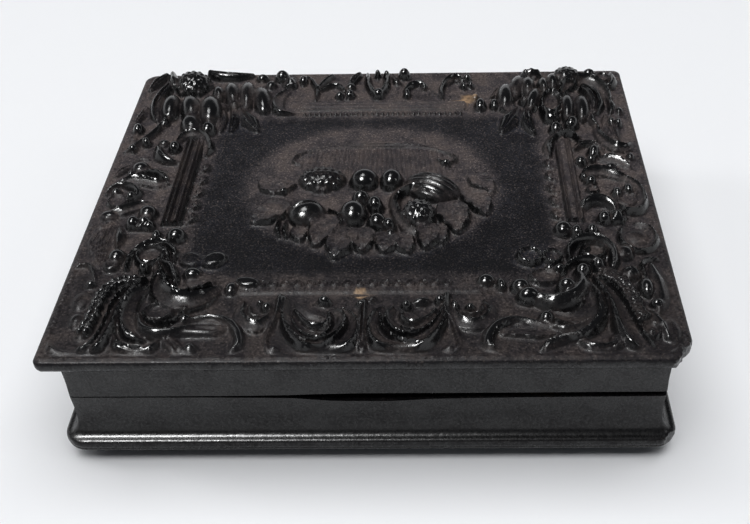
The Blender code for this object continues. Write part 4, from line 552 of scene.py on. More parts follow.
BACK_CENTRE_RIDGES = [
    ([(-12.7, 30.4), (-12.6, 32.8), (-12.8, 35.0), (-13.8, 37.6), (-15.2, 39.4)],
     [0.35, 0.5, 0.6, 0.65, 0.4], [0.8, 1.1, 1.4, 1.5, 1.2], "round"),
    ([(-12.8, 34.0), (-12.2, 36.0), (-11.2, 38.2), (-9.9, 40.0)],
     [0.4, 0.6, 0.65, 0.4], [1.2, 1.4, 1.5, 1.2], "round"),
    ([(-12.2, 34.0), (-10.6, 35.7), (-8.9, 36.2), (-7.7, 35.1), (-7.3, 33.6)],
     [0.4, 0.6, 0.65, 0.6, 0.4], [1.0, 1.3, 1.4, 1.4, 1.1], "round"),
    ([(-2.9, 40.0), (-2.5, 36.4), (-1.4, 33.4), (-0.4, 32.4)],
     [0.6, 0.75, 0.75, 0.5], [1.6, 1.8, 1.8, 1.5], "round"),
    ([(1.0, 40.0), (1.0, 36.4), (0.2, 33.6), (-0.5, 32.4)],
     [0.6, 0.75, 0.75, 0.5], [1.6, 1.8, 1.8, 1.5], "round"),
    ([(2.2, 39.6), (3.0, 37.4), (3.8, 36.4)], [0.5, 0.8, 0.4], [1.0, 1.3, 0.8], "leaf"),
    ([(5.2, 32.6), (5.1, 34.6), (6.0, 36.2), (7.6, 36.6), (8.6, 35.6), (8.6, 34.4)],
     [0.55, 0.7, 0.8, 0.85, 0.8, 0.5], [1.2, 1.5, 1.6, 1.6, 1.4, 1.0], "round"),
    ([(9.2, 35.4), (10.4, 33.2), (11.8, 31.0)], [0.3, 0.4, 0.3], [0.5, 0.6, 0.5], "round"),
    ([(12.2, 31.0), (12.0, 34.2), (12.7, 37.2), (14.2, 39.0), (15.6, 38.8), (16.3, 37.2)],
     [0.35, 0.6, 0.7, 0.75, 0.65, 0.4], [0.9, 1.4, 1.6, 1.7, 1.5, 1.2], "round"),
    ([(13.2, 36.0), (14.4, 37.3), (15.6, 36.6)], [0.3, 0.45, 0.3], [0.9, 1.1, 0.9], "round"),
    ([(-6.0, 36.6), (-5.6, 38.6), (-4.6, 40.2)], [0.6, 1.0, 0.7], [1.2, 1.5, 1.4], "leaf"),
    ([(22.8, 28.0), (23.8, 26.4), (25.4, 26.8), (25.9, 28.2)],
     [0.4, 0.6, 0.6, 0.35], [0.8, 1.1, 1.1, 0.7], "round"),
    ([(21.8, 31.0), (23.0, 33.2), (24.6, 35.0)], [0.4, 0.8, 0.4], [1.0, 1.3, 0.9], "leaf"),
]
BACK_CENTRE_DOMES = [
    (-8.1, 32.4, 1.0, 1.1, 1.5),
    (-6.1, 32.9, 1.0, 1.3, 1.7, -15),
    (-6.1, 35.6, 1.1, 1.1, 1.2),
    (-0.5, 33.1, 1.25, 1.3, 2.0),
    (-0.9, 40.6, 0.7, 0.8, 2.0),
    (0.9, 40.3, 0.7, 0.8, 2.0),
    (4.5, 40.7, 1.3, 1.3, 2.3),
    (5.2, 32.9, 0.75, 1.5, 1.6),
    (16.4, 35.5, 0.65, 1.1, 1.4, 15),
    (17.8, 36.0, 0.65, 1.1, 1.5, 15),
    (17.2, 38.4, 1.0, 1.0, 1.5, 0, "berry"),
    (19.5, 28.8, 1.2, 1.9, 1.9),
    (22.2, 28.7, 1.0, 1.7, 1.7),
    (18.6, 31.2, 0.9, 1.1, 1.2),
]

BACK_RIGHT_RIDGES = [
    ([(35.6, 33.2), (36.8, 35.8), (39.2, 37.4), (41.8, 37.0), (43.6, 34.8), (44.4, 31.6), (44.4, 28.6)],
     [0.6, 1.1, 1.3, 1.4, 1.2, 1.0, 0.5], [2.4, 3.0, 3.1, 3.0, 2.6, 2.0, 1.2], "crest_left"),
    ([(40.0, 34.4), (41.6, 32.0), (42.0, 28.6), (41.2, 25.0)],
     [0.8, 1.6, 1.6, 0.6], [2.2, 2.6, 2.3, 1.3], "leaf"),
    ([(44.2, 30.4), (44.8, 27.6), (44.2, 24.8)], [0.5, 1.0, 0.4], [1.3, 1.6, 0.9], "round"),
    ([(26.6, 26.6), (25.2, 23.4), (23.2, 19.0)], [0.7, 2.0, 0.6], [1.2, 1.7, 0.9], "leaf"),
    ([(28.4, 26.6), (28.0, 22.8), (29.0, 18.2)], [0.7, 1.4, 0.5], [1.3, 1.7, 0.9], "leaf"),
    ([(43.4, 35.2), (45.2, 34.8), (46.3, 37.0), (46.0, 39.4)],
     [0.5, 0.9, 0.9, 0.5], [1.2, 1.7, 1.8, 1.3], "round"),
    ([(40.4, 24.6), (40.4, 22.4), (41.2, 20.0)], [0.7, 1.0, 0.5], [1.6, 1.6, 1.0], "round"),
]
BACK_RIGHT_DOMES = [
    (24.6, 32.2, 1.8, 4.6, 2.4, -4),
    (27.0, 35.4, 1.7, 4.4, 2.4, -10),
    (29.2, 35.4, 1.6, 3.4, 2.7, -4),
    (30.0, 30.8, 1.6, 4.0, 2.6, -14),
    (32.2, 35.2, 1.3, 3.2, 2.8, 4),
    (34.2, 36.8, 1.5, 3.2, 2.8),
    (33.2, 28.6, 2.2, 4.8, 3.0, -6, "bowl"),
    (36.2, 27.8, 1.7, 4.9, 3.0, -4),
    (39.0, 27.6, 1.8, 4.7, 2.7, -3),
    (37.2, 38.9, 3.1, 3.4, 3.25, 0, "berry"),
    (41.8, 39.8, 1.5, 1.3, 2.0),
    (36.5, 21.9, 1.4, 1.9, 2.4, -20),
    (32.9, 23.8, 1.7, 1.5, 2.2),
    (33.4, 20.2, 1.4, 1.8, 2.2),
    (28.2, 29.8, 1.3, 1.3, 1.8),
    (44.2, 37.8, 1.6, 1.8, 1.4, 0, "bowl"),
    (30.2, 40.2, 2.2, 1.1, 1.9, 0, "berry"),
    (24.9, 26.6, 1.7, 1.1, 1.3, 0, "bowl"),
]

RIDGES = (FRONT_LEFT_RIDGES + FRONT_RIGHT_RIDGES + FRONT_CENTRE_RIDGES + CENTRE_RIDGES + LEFT_SIDE_RIDGES
          + RIGHT_SIDE_RIDGES + BACK_LEFT_RIDGES + BACK_CENTRE_RIDGES + BACK_RIGHT_RIDGES)
DOMES = (FRONT_LEFT_DOMES + FRONT_RIGHT_DOMES + FRONT_CENTRE_DOMES + CENTRE_DOMES + LEFT_SIDE_DOMES
         + RIGHT_SIDE_DOMES + BACK_LEFT_DOMES + BACK_CENTRE_DOMES + BACK_RIGHT_DOMES)
STRANDS = FRONT_LEFT_STRANDS + FRONT_RIGHT_STRANDS


def standing(x, y, height):
    """Where a form of this height stands on the ground, from where the camera shows it there."""
    share = SEEN_SHARE * np.asarray(height) / EYE[2]
    return x - (x - EYE[0]) * share, y - (y - EYE[1]) * share


def bell(value, half):
    """One at nought, falling off on both sides."""
    return np.exp(-((value / half) ** 2))


def ease(low, high, value):
    share = np.clip((value - low) / (high - low), 0, 1)
    return share * share * (3 - 2 * share)


# Sections: height across a ridge, by the distance from its line and the side of it

def round_section(ratio, side):
    return 0.62 * np.sqrt(1 - ratio**2) + 0.38 * (1 - ratio)


def crest_section(ratio, side):
    """A scooped moulding that rises to a sharp crest on its right-hand side and falls steeply past it."""
    across = side * ratio
    crest = 0.45
    outer = np.clip((across - crest) / (1 - crest), 0, 1)
    inner = np.clip((1 + across) / (1 + crest), 0, 1)
    foot = np.sqrt(1 - (1 - np.clip(inner / 0.14, 0, 1)) ** 2)
    scoop = (0.46 + 0.54 * inner**1.9) * foot
    fall = (1 - outer**1.6) ** 0.75
    return np.where(across > crest, fall, scoop) * (0.9 + 0.11 * bell(across - crest, 0.13))


def channel_section(ratio, side):
    """A gutter between two raised edges."""
    return (0.6 + 0.4 * ratio**2) * np.clip((1 - ratio) / 0.16, 0, 1) ** 0.7


def leaf_section(ratio, side):
    """Two lobes with a sharp midrib groove."""
    return np.sqrt(1 - ratio**2) * (1 - 0.55 * bell(ratio, 0.16))


def flutes_section(ratio, side):
    return np.sqrt(1 - ratio**2) * (0.75 + 0.25 * np.cos(6 * math.pi * ratio * side))


SECTIONS = {
    "round": round_section,
    "channel": channel_section,
    "crest_right": crest_section,
    "crest_left": lambda ratio, side: crest_section(ratio, -side),
    "leaf": leaf_section,
    "flutes": flutes_section,
}


def smooth_line(points, parts=8):
    """A curve through the points, in this many steps from each to the next."""
    line = np.array([points[0], *points, points[-1]], dtype=float)
    steps = np.linspace(0, 1, parts, endpoint=False)[:, None]
    made = []
    for before, start, end, after in zip(line, line[1:], line[2:], line[3:]):
        bend = 2 * before - 5 * start + 4 * end - after
        twist = 3 * (start - end) + after - before
        made.append((2 * start + (end - before) * steps + bend * steps**2 + twist * steps**3) / 2)
    return np.vstack([*made, line[-1:]])


def stretch(values, ends, margin):
    """The part of rising values that lies within a margin of some places."""
    return slice(*np.searchsorted(values, (np.min(ends) - margin, np.max(ends) + margin)))


class Relief:
    """Heights over a net of places, and where the surface is matt."""

    def __init__(self, half_w, half_d, step):
        self.xs = np.linspace(-half_w, half_w, BLOCK * round(half_w / step / 2) + 1)
        self.ys = np.linspace(-half_d, half_d, BLOCK * round(half_d / step / 2) + 1)
        self.height = np.zeros((len(self.ys), len(self.xs)))
        self.matt = np.zeros_like(self.height)

    def window(self, xs, ys, margin=0):
        """The part of the net within a margin of some places, and its own places."""
        where = stretch(self.ys, ys, margin), stretch(self.xs, xs, margin)
        x, y = np.meshgrid(self.xs[where[1]], self.ys[where[0]])
        return where, x, y

    def raise_to(self, where, height, matt=0):
        self.matt[where] = np.where(height > self.height[where], matt, self.matt[where])
        self.height[where] = np.maximum(self.height[where], height)

    def ridge(self, points, widths, heights, section="round"):
        """A moulding along a smooth line."""
        line = smooth_line(points)
        knots = np.linspace(0, 1, len(points))
        along = np.linspace(0, 1, len(line))
        half = np.interp(along, knots, np.broadcast_to(widths, len(points)))
        rise = np.interp(along, knots, heights)
        line = np.column_stack(standing(line[:, 0], line[:, 1], rise))
        where, x, y = self.window(line[:, 0], line[:, 1], half.max())
        if x.size == 0:
            return
        ratio, side, place = np.ones(x.shape), np.zeros(x.shape), np.zeros(x.shape)
        for i, (start, end) in enumerate(zip(line, line[1:])):
            run = end - start
            if run @ run < 1e-9:
                continue
            wide = max(half[i], half[i + 1])
            part = stretch(y[:, 0], (start[1], end[1]), wide), stretch(x[0], (start[0], end[0]), wide)
            dx, dy = x[part] - start[0], y[part] - start[1]
            if dx.size == 0:
                continue
            share = np.clip((dx * run[0] + dy * run[1]) / (run @ run), 0, 1)
            away = np.hypot(dx - share * run[0], dy - share * run[1])
            near = away / (half[i] + (half[i + 1] - half[i]) * share)
            better = near < ratio[part]
            ratio[part] = np.where(better, near, ratio[part])
            side[part] = np.where(better, np.sign(dx * run[1] - dy * run[0]), side[part])
            place[part] = np.where(better, along[i] + (along[i + 1] - along[i]) * share, place[part])
        shape = SECTIONS[section](np.clip(ratio, 0, 1), side)
        self.raise_to(where, np.interp(place, along, rise) * np.where(ratio < 1, shape, 0))

    def dome(self, x0, y0, half_x, half_y, rise, turn=0, kind=""):
        """A rounded lump, plain or of a kind."""
        x0, y0 = standing(x0, y0, rise)
        where, x, y = self.window(x0, y0, max(half_x, half_y))
        cos, sin = math.cos(math.radians(turn)), math.sin(math.radians(turn))
        u = ((x - x0) * cos + (y - y0) * sin) / half_x
        v = ((y - y0) * cos - (x - x0) * sin) / half_y
        r2 = u * u + v * v
        body = np.sqrt(np.clip(1 - r2, 0, 1))
        if kind == "dish":
            body = body * (0.62 + 0.5 * np.clip(r2, 0, 1)) / 0.75
        elif kind == "bowl":
            rim = bell(np.sqrt(r2) - 0.8, 0.11)
            body = np.clip(body * 3, 0, 1) * (0.45 + 0.15 * np.clip(r2, 0, 1) + 0.4 * rim)
        elif kind == "melon":
            body = body * (0.78 + 0.22 * np.abs(np.sin(v * 3 * math.pi)) ** 0.6)
        elif kind == "ribs":
            body = body * (1 - 0.14 * np.abs(np.sin(u * 3.5 * math.pi)))
        elif kind == "cleft":
            body = body * (1 - 0.22 * bell(v - 0.2, 0.08))
        self.raise_to(where, rise * body)
        if kind != "berry":
            return
        rows, columns = int(2 * half_y / BERRY_PITCH) + 2, int(2 * half_x / BERRY_PITCH) + 2
        for i in range(-rows, rows + 1):
            for j in range(-columns, columns + 1):
                cx, cy = (j + 0.5 * (i % 2)) * BERRY_PITCH, i * BERRY_PITCH * BERRY_ROWS
                d2 = (cx / half_x) ** 2 + (cy / half_y) ** 2
                if d2 <= BERRY_END:
                    top = rise * math.sqrt(1 - d2) + BERRY_PROUD
                    bead_x, bead_y = x0 + cx * cos - cy * sin, y0 + cx * sin + cy * cos
                    self.bead(bead_x, bead_y, BERRY_RADIUS, top, BERRY_RISE)

    def bead(self, x0, y0, radius, top, rise):
        where, x, y = self.window(x0, y0, radius)
        r2 = ((x - x0) ** 2 + (y - y0) ** 2) / radius**2
        self.raise_to(where, np.where(r2 < 1, top - rise + rise * np.sqrt(np.clip(1 - r2, 0, 1)), 0))

    def strand(self, points, rows, spread, radius, height):
        """Rows of small beads over a low ridge."""
        self.ridge(points, 0.75 * spread, [0.55 * height] * len(points))
        line = smooth_line(points, 24)
        line = np.column_stack(standing(line[:, 0], line[:, 1], height))
        run = np.concatenate([[0], np.cumsum(np.hypot(*np.diff(line, axis=0).T))])
        pitch = radius * 1.75
        for k in range(int(run[-1] / pitch) + 1):
            x, ahead_x = np.interp((k * pitch, k * pitch + 0.1), run, line[:, 0])
            y, ahead_y = np.interp((k * pitch, k * pitch + 0.1), run, line[:, 1])
            across = np.array([y - ahead_y, ahead_x - x])
            across = across / max(np.hypot(*across), 1e-9)
            for row in range(rows):
                offset = (row - (rows - 1) / 2 + 0.25 * (k % 2)) * 2 * spread / rows * 0.62
                top = height - 0.12 * abs(offset)
                self.bead(x + across[0] * offset, y + across[1] * offset, radius, top, 0.42)

    def leaf(self, foot, tip, half_width, rise, veins, bend):
        """A leaf blade with a midrib, curved side veins and a lobed edge."""
        fx, fy = standing(*foot, rise)
        tx, ty = standing(*tip, rise)
        length = math.hypot(tx - fx, ty - fy)
        ux, uy = (tx - fx) / length, (ty - fy) / length
        where, x, y = self.window((fx, tx), (fy, ty), half_width + 1)
        s = ((x - fx) * ux + (y - fy) * uy) / length
        share = np.clip(s, 0, 1)
        off = np.abs((y - fy) * ux - (x - fx) * uy - bend * length * share * (1 - share) * 2)
        inside = np.clip(s, 1e-4, 1 - 1e-4)
        lobes = np.abs(np.cos(math.pi * veins * (inside - 0.1 * off / half_width)))
        outline = half_width * np.sin(math.pi * inside**0.8) ** 0.7 * (0.86 + 0.14 * lobes)
        ratio = off / np.maximum(outline, 1e-3)
        cup = 0.62 + 0.38 * np.clip(ratio, 0, 1) ** 1.6
        edge = np.clip((1 - ratio) * outline / 0.3, 0, 1) ** 0.6
        vein = 1 - 0.16 * bell((veins * (s - 0.35 * off / half_width)) % 1 - 0.5, 0.16)
        rib = 1 + 0.22 * bell(off, 0.22)
        ends = np.sqrt(np.clip(1 - (2 * share - 1) ** 4, 0, 1))
        blade = (ratio < 1) & (s > 0) & (s < 1)
        self.raise_to(where, np.where(blade, rise * cup * edge * vein * rib * ends, 0), 1)


def grooved(across, grooves):
    """A flat band with square shoulders and narrow grooves along it: place and half width of each."""
    level = np.clip((1 - np.abs(across)) / 0.12, 0, 1)
    for place, half in grooves:
        level = level * (1 - 0.7 * bell(across - place, half))
    return level


# Side bars: middle, half width, front end, back end, height, grooves
SIDE_BARS = (
    (-33.5, 1.75, -9.2, 15.6, 1.5, ((-0.62, 0.09), (-0.15, 0.12), (0.18, 0.06), (0.60, 0.12))),
    (33.9, 1.5, -9.0, 15.2, 1.0, ((-0.55, 0.10), (0.45, 0.14))),
)
BACK_BAR_GROOVES = ((-0.3, 0.10), (0.45, 0.08))


def lay_bars(relief):
    """The grooved bars of the frame at the sides and the back, and the corded one in front."""
    for middle, half, front, back, rise, grooves in SIDE_BARS:
        where, x, y = relief.window((middle - half, middle + half), (front, back))
        relief.raise_to(where, rise * grooved((x - middle) / half, grooves), 1)
    where, x, y = relief.window((-15.4, 16.6), (26.1, 29.1))
    relief.raise_to(where, 0.5 * grooved((y - 27.6) / 1.5, BACK_BAR_GROOVES), 1)
    where, x, y = relief.window((-20.5, 17.6), (-26.3, -24.5))
    cord = 0.5 + 0.5 * np.cos(2 * math.pi * x / 0.55)
    across = (y + 25.4) / 0.9
    relief.raise_to(where, 0.3 * np.clip(1 - across**4, 0, 1) + 0.12 * cord * (np.abs(across) < 0.75), 1)


# One curl of the side bars' lace: places, half widths and heights
LACE_CURL = [(-1.0, -0.9), (0.1, -1.0), (0.9, -0.2), (0.9, 0.9), (0.2, 1.4)]
CURL_WIDTHS = [0.2, 0.34, 0.36, 0.3, 0.2]
CURL_HEIGHTS = [0.5, 0.85, 0.95, 0.8, 0.5]


def lay_lace(relief):
    """Curls beside the side bars, scallops behind the front one and beads before the back one."""
    for k in range(CURLS):
        for side, x0, start in ((1, -30.9, -6.8), (-1, 31.2, -6.5)):
            y0 = start + CURL_PITCH * k
            relief.ridge([(x0 + side * a, y0 + b) for a, b in LACE_CURL], CURL_WIDTHS, CURL_HEIGHTS)
            relief.bead(*standing(x0 + side * 0.1, y0 + 0.5, 0.6), 0.42, 0.65, 0.65)
            relief.bead(*standing(x0 - side * 0.5, y0 - 1.5, 0.6), 0.38, 0.55, 0.55)
    for k in range(SCALLOPS):
        scallop(relief, -16.8 + k * SCALLOP_PITCH, -23.6, 0.9, 0.85, 0.7)
    for k in range(LACE_BEADS):
        relief.bead(*standing(-14.4 + k * LACE_PITCH, 25.4, 0.7), 0.36, 0.75, 0.75)


def scallop(relief, x0, y0, half_x, half_y, rise):
    """A raised oval ring round a bead."""
    x0, y0 = standing(x0, y0, rise)
    where, x, y = relief.window((x0 - half_x, x0 + half_x), (y0 - half_y, y0 + half_y))
    r = np.hypot((x - x0) / half_x, (y - y0) / half_y)
    relief.raise_to(where, np.where(r < 1, rise * bell(r - 0.72, 0.22), 0))
    relief.bead(x0, y0, 0.35, rise * 0.8, rise * 0.8)


def lay_basket(relief):
    """Staves of the basket below its rim, fading into the ground."""
    where, x, y = relief.window((-14, 13.5), (3.5, 14.4))
    rim = 13.3 - 3.6 * (x / 14.2) ** 4
    stave = 0.5 + 0.5 * np.cos(2 * math.pi * (x * (1 + 0.012 * (y - 8))) / 0.86)
    depth = np.clip((rim - y) / 0.8, 0, 1)
    sides = np.clip((14 - np.abs(x)) / 2, 0, 1)
    relief.raise_to(where, np.where(y < rim, (0.15 + 0.42 * stave) * depth * sides, 0), 1)
    relief.raise_to(where, 0.75 * bell(y - rim, 0.34) * sides, 0.4)


def lay_edge(relief, half_w, half_d):
    """A corded line just inside the lip, worn to an uneven line in front."""
    count = round(2 * half_d / EDGE_PITCH)
    for step in range(count + 1):
        y = half_d * (2 * step / count - 1)
        relief.bead(-half_w, y, *EDGE_BEAD)
        relief.bead(half_w, y, *EDGE_BEAD)
    count = round(2 * half_w / EDGE_PITCH)
    for step in range(count + 1):
        relief.bead(half_w * (2 * step / count - 1), half_d, *EDGE_BEAD)
    where, x, y = relief.window((-half_w, half_w), (-half_d - 0.4, -half_d + 0.5))
    coarse, fine = np.sin(3.1 * x + 2 * np.sin(1.3 * x)), np.sin(8.7 * x + 3 * np.sin(2.1 * x))
    relief.raise_to(where, 0.28 * (0.6 + 0.25 * coarse + 0.15 * fine) * bell(y + half_d, 0.3))


def lower_in_front(y):
    """The moulding is flatter toward the front edge."""
    return FRONT_SHARE + (1 - FRONT_SHARE) * float(ease(*FRONT_FADE, y))


def make_relief(half_w, half_d, step):
    relief = Relief(half_w, half_d, step)
    lay_basket(relief)
    lay_bars(relief)
    lay_lace(relief)
    for leaf in CENTRE_LEAVES:
        relief.leaf(*leaf)
    for points, widths, heights, section in RIDGES:
        heights = [rise * lower_in_front(y) for rise, (_, y) in zip(heights, points)]
        relief.ridge(points, widths, heights, section)
    for x0, y0, half_x, half_y, rise, *kind in DOMES:
        relief.dome(x0, y0, half_x, half_y, rise * lower_in_front(y0), *kind)
    for strand in STRANDS:
        relief.strand(*strand)
    relief.height *= ease(*FRONT_START, relief.ys[:, None] + half_d)
    lay_edge(relief, half_w - EDGE_IN, half_d - EDGE_IN)
    # Soft feet, and edges a little rounded
    relief.height = np.maximum(relief.height, 0.6 * blurred(relief.height, 1.5))
    relief.height = 0.75 * relief.height + 0.25 * blurred(relief.height, 1)
    relief.height[relief.height < LEVEL] = 0
    return relief


def new_object(name, places, faces):
    """An object of a new mesh, its places in metres."""
    mesh = bpy.data.meshes.new(name)
    mesh.from_pydata(np.asarray(places).tolist(), [], [list(map(int, face)) for face in faces])
    made = bpy.data.objects.new(name, mesh)
    bpy.context.scene.collection.objects.link(made)
    return made


def camera():
    data = bpy.data.cameras.new("camera")
    data.lens = LENS
    data.shift_x = SHIFT_X
    data.shift_y = SHIFT_Y
    data.clip_start = 0.005
    data.clip_end = 20
    eye = bpy.data.objects.new("camera", data)
    bpy.context.scene.collection.objects.link(eye)
    eye.location = (EYE[0] * UNIT, EYE[1] * UNIT, (EYE[2] + GROUND_Z) * UNIT)
    eye.rotation_euler = [math.radians(turn) for turn in EYE_TURNS]
    bpy.context.scene.camera = eye


def area_light(name, place, size, power, mirrored, lights):
    data = bpy.data.lights.new(name, "AREA")
    data.shape = "RECTANGLE"
    data.size, data.size_y = size
    data.energy = power
    lamp = bpy.data.objects.new(name, data)
    bpy.context.scene.collection.objects.link(lamp)
    lamp.location = place
    lamp.visible_glossy = mirrored
    lamp.visible_diffuse = lights
    lamp.rotation_euler = (Vector(place) - Vector(LIGHT_AIM)).to_track_quat("Z", "Y").to_euler()


def studio():
    """A pale floor under soft light from above, with the window side to the left."""
    for light in LIGHTS:
        area_light(*light)
    world = bpy.data.worlds.new("studio")
    bpy.context.scene.world = world
    world.use_nodes = True
    world.node_tree.nodes["Background"].inputs["Color"].default_value = (0.80, 0.84, 0.90, 1)
    world.node_tree.nodes["Background"].inputs["Strength"].default_value = 0.09

    reach, wall_h = 3.0, 1.2
    corners = [(-reach, -reach, 0), (reach, -reach, 0), (reach, reach, 0), (-reach, reach, 0)]
    corners += [(x, y, wall_h) for x, y, _ in corners]
    sides = [(i, (i + 1) % 4, (i + 1) % 4 + 4, i + 4) for i in range(4)]
    floor = new_object("floor", corners, [(0, 1, 2, 3)] + sides)
    paint = Nodes("floor", Base_Color=(0.82, 0.83, 0.85, 1), Roughness=0.7, Specular_IOR_Level=0.2)
    path = paint.add("ShaderNodeLightPath").outputs
    seen = paint.math("MAXIMUM", path["Is Camera Ray"], path["Is Glossy Ray"])
    seen = paint.math("MAXIMUM", seen, path["Is Transmission Ray"])
    place = paint.add("ShaderNodeNewGeometry").outputs["Position"]
    away = paint.add("ShaderNodeVectorMath", {0: place}, operation="LENGTH").outputs["Value"]
    # Away from the case the floor glows by itself, so it is as white as the backdrop
    glow = paint.add("ShaderNodeEmission", {"Color": GLOW, "Strength": 1.0}).outputs[0]
    far = paint.math("MULTIPLY", seen, paint.span(away, *GLOW_START), True)
    both = paint.add("ShaderNodeMixShader", {0: far, 1: paint.shader.outputs[0], 2: glow})
    paint.link(both.outputs[0], paint.tree.nodes["Material Output"].inputs["Surface"])
    floor.data.materials.append(paint.material)
    bpy.context.scene.view_settings.view_transform = "Standard"


class Nodes:
    """Short calls for building one material's nodes."""

    def __init__(self, name, **values):
        self.material = bpy.data.materials.new(name)
        self.material.use_nodes = True
        self.tree = self.material.node_tree
        self.shader = self.tree.nodes["Principled BSDF"]
        for socket, value in values.items():
            self.shader.inputs[socket.replace("_", " ")].default_value = value

    def link(self, source, target):
        self.tree.links.new(source, target)

    def set(self, socket, source):
        self.link(source, self.shader.inputs[socket])

    def add(self, kind, inputs=(), **settings):
        node = self.tree.nodes.new(kind)
        for setting, value in settings.items():
            setattr(node, setting, value)
        for socket, value in dict(inputs).items():
            if isinstance(value, bpy.types.NodeSocket):
                self.link(value, node.inputs[socket])
            else:
                node.inputs[socket].default_value = value
        return node

    def attribute(self, name):
        return self.add("ShaderNodeAttribute", attribute_name=name).outputs["Fac"]

    def place(self):
        return self.add("ShaderNodeTexCoord").outputs["Object"]

    def noise(self, grain, detail, roughness=0.6):
        """Noise with lumps about this many millimetres wide."""
        inputs = {"Vector": self.place(), "Scale": 1 / (grain * MM), "Detail": detail}
        return self.add("ShaderNodeTexNoise", {**inputs, "Roughness": roughness}).outputs["Fac"]

    def math(self, operation, one, other=0.0, clamp=False):
        node = self.add("ShaderNodeMath", {0: one, 1: other}, operation=operation, use_clamp=clamp)
        return node.outputs[0]

    def span(self, value, low, high, to_low=0.0, to_high=1.0):
        """A value's place between two limits, carried over to two others."""
        inputs = {"Value": value, "From Min": low, "From Max": high, "To Min": to_low, "To Max": to_high}
        return self.add("ShaderNodeMapRange", inputs).outputs["Result"]

    def mix(self, factor, one, other):
        """A mix of two colours, each a triple or a socket."""
        node = self.add("ShaderNodeMix", {0: factor}, data_type="RGBA")
        for number, value in ((6, one), (7, other)):
            if isinstance(value, bpy.types.NodeSocket):
                self.link(value, node.inputs[number])
            else:
                node.inputs[number].default_value = (*value, 1)
        return node.outputs[2]

    def bump(self, height, depth, strength, before=None):
        inputs = {"Height": height, "Distance": depth * MM, "Strength": strength}
        if before is not None:
            inputs["Normal"] = before
        return self.add("ShaderNodeBump", inputs).outputs["Normal"]


def moulded():
    """Black moulded shellac: polished where it is handled, matt with dust in the hollows; the dust mark
    also carries painted sheen and painted shade.
    """
    made = Nodes("moulded_black", Specular_IOR_Level=0.5)
    # The dust mark holds real dust and painted light: painted sheen toward the back of the lid, painted
    # shade in the coves next to the lip
    dust_and_painted_light = made.attribute("dust_and_painted_light")
    panel = made.attribute("panel")
    fine = made.noise(0.45, 4, 0.7)
    cloudy = made.noise(4.0, 4)
    speck = made.noise(0.30, 2, 0.5)
    patchy = made.math("MULTIPLY", dust_and_painted_light, made.span(cloudy, 0.35, 0.65, 0.55, 1.2), True)
    grainy = made.math("MULTIPLY", patchy, made.span(fine, 0.35, 0.65, 0.35, 1.4), True)
    warm = made.mix(made.span(cloudy, 0.42, 0.62), (0.050, 0.043, 0.047), (0.070, 0.056, 0.053))
    dusty = made.mix(panel, warm, (0.019, 0.019, 0.025))
    lit = made.mix(made.span(speck, 0.56, 0.68), dusty, (0.15, 0.125, 0.115))
    colour = made.mix(grainy, (0.003, 0.003, 0.0035), lit)
    chip = made.attribute("chip")
    chipped = made.mix(made.span(made.noise(0.8, 4), 0.35, 0.65), (0.30, 0.20, 0.12), (0.12, 0.08, 0.05))
    colour = made.mix(chip, colour, chipped)
    made.set("Base Color", colour)
    made.set("Specular IOR Level", made.span(grainy, 0.0, 0.16, 0.5, 0.10))
    polish = made.attribute("polish")
    rough = made.span(grainy, 0.0, 1.0, 0.26, 0.66)
    rough = made.math("SUBTRACT", rough, made.span(polish, 0, 1, 0, 0.11))
    made.set("Roughness", made.math("ADD", rough, made.span(fine, 0.3, 0.7, -0.04, 0.07)))
    grain = made.bump(fine, 0.07, made.span(dust_and_painted_light, 0, 1, 0.15, 0.9))
    made.set("Normal", made.bump(made.noise(1.3, 3), 0.16, 0.3, grain))
    return made.material


def metal(name, colour, shade, rough):
    """Sheet brass with a mottled patina and fine wear."""
    made = Nodes(name, Metallic=1.0)
    patina = made.span(made.noise(2.5, 5), 0.35, 0.7)
    made.set("Base Color", made.mix(patina, colour, shade))
    made.set("Roughness", made.span(made.noise(0.6, 4), 0.2, 0.8, rough - 0.1, rough + 0.15))
    made.set("Normal", made.bump(made.noise(0.15, 3), 0.01, 0.35))
    return made.material


def gilt_mat():
    """Stamped brass with a fine pebbled face."""
    made = Nodes("gilt_pebbled", Metallic=1.0)
    pebbles = made.add("ShaderNodeTexVoronoi", {"Vector": made.place(), "Scale": 1 / (0.32 * MM)})
    stain = made.span(made.noise(6, 3), 0.3, 0.7)
    made.set("Base Color", made.mix(stain, (0.72, 0.50, 0.20), (0.48, 0.31, 0.12)))
    made.set("Roughness", made.span(made.noise(0.8, 3), 0.2, 0.8, 0.28, 0.5))
    made.set("Normal", made.bump(pebbles.outputs["Distance"], 0.04, 0.6))
    return made.material


def velvet():
    sheen = {"Sheen_Weight": 0.7, "Sheen_Roughness": 0.35, "Sheen_Tint": (1.0, 0.45, 0.5, 1)}
    made = Nodes("crimson_velvet", Roughness=0.95, Specular_IOR_Level=0.1, **sheen)
    crushed = made.noise(3.5, 4)
    pile = made.noise(0.18, 2)
    worn = made.mix(made.span(crushed, 0.35, 0.7), (0.17, 0.008, 0.022), (0.27, 0.022, 0.045))
    made.set("Base Color", made.mix(made.span(pile, 0.3, 0.7), (0.10, 0.004, 0.012), worn))
    made.set("Normal", made.bump(pile, 0.08, 0.6, made.bump(crushed, 0.3, 0.25)))
    return made.material


def pasteboard():
    made = Nodes("pasteboard", Roughness=0.9)
    fibre = made.noise(0.5, 6)
    made.set("Base Color", made.mix(made.span(fibre, 0.3, 0.7), (0.20, 0.14, 0.08), (0.33, 0.25, 0.16)))
    made.set("Normal", made.bump(fibre, 0.03, 0.5))
    return made.material


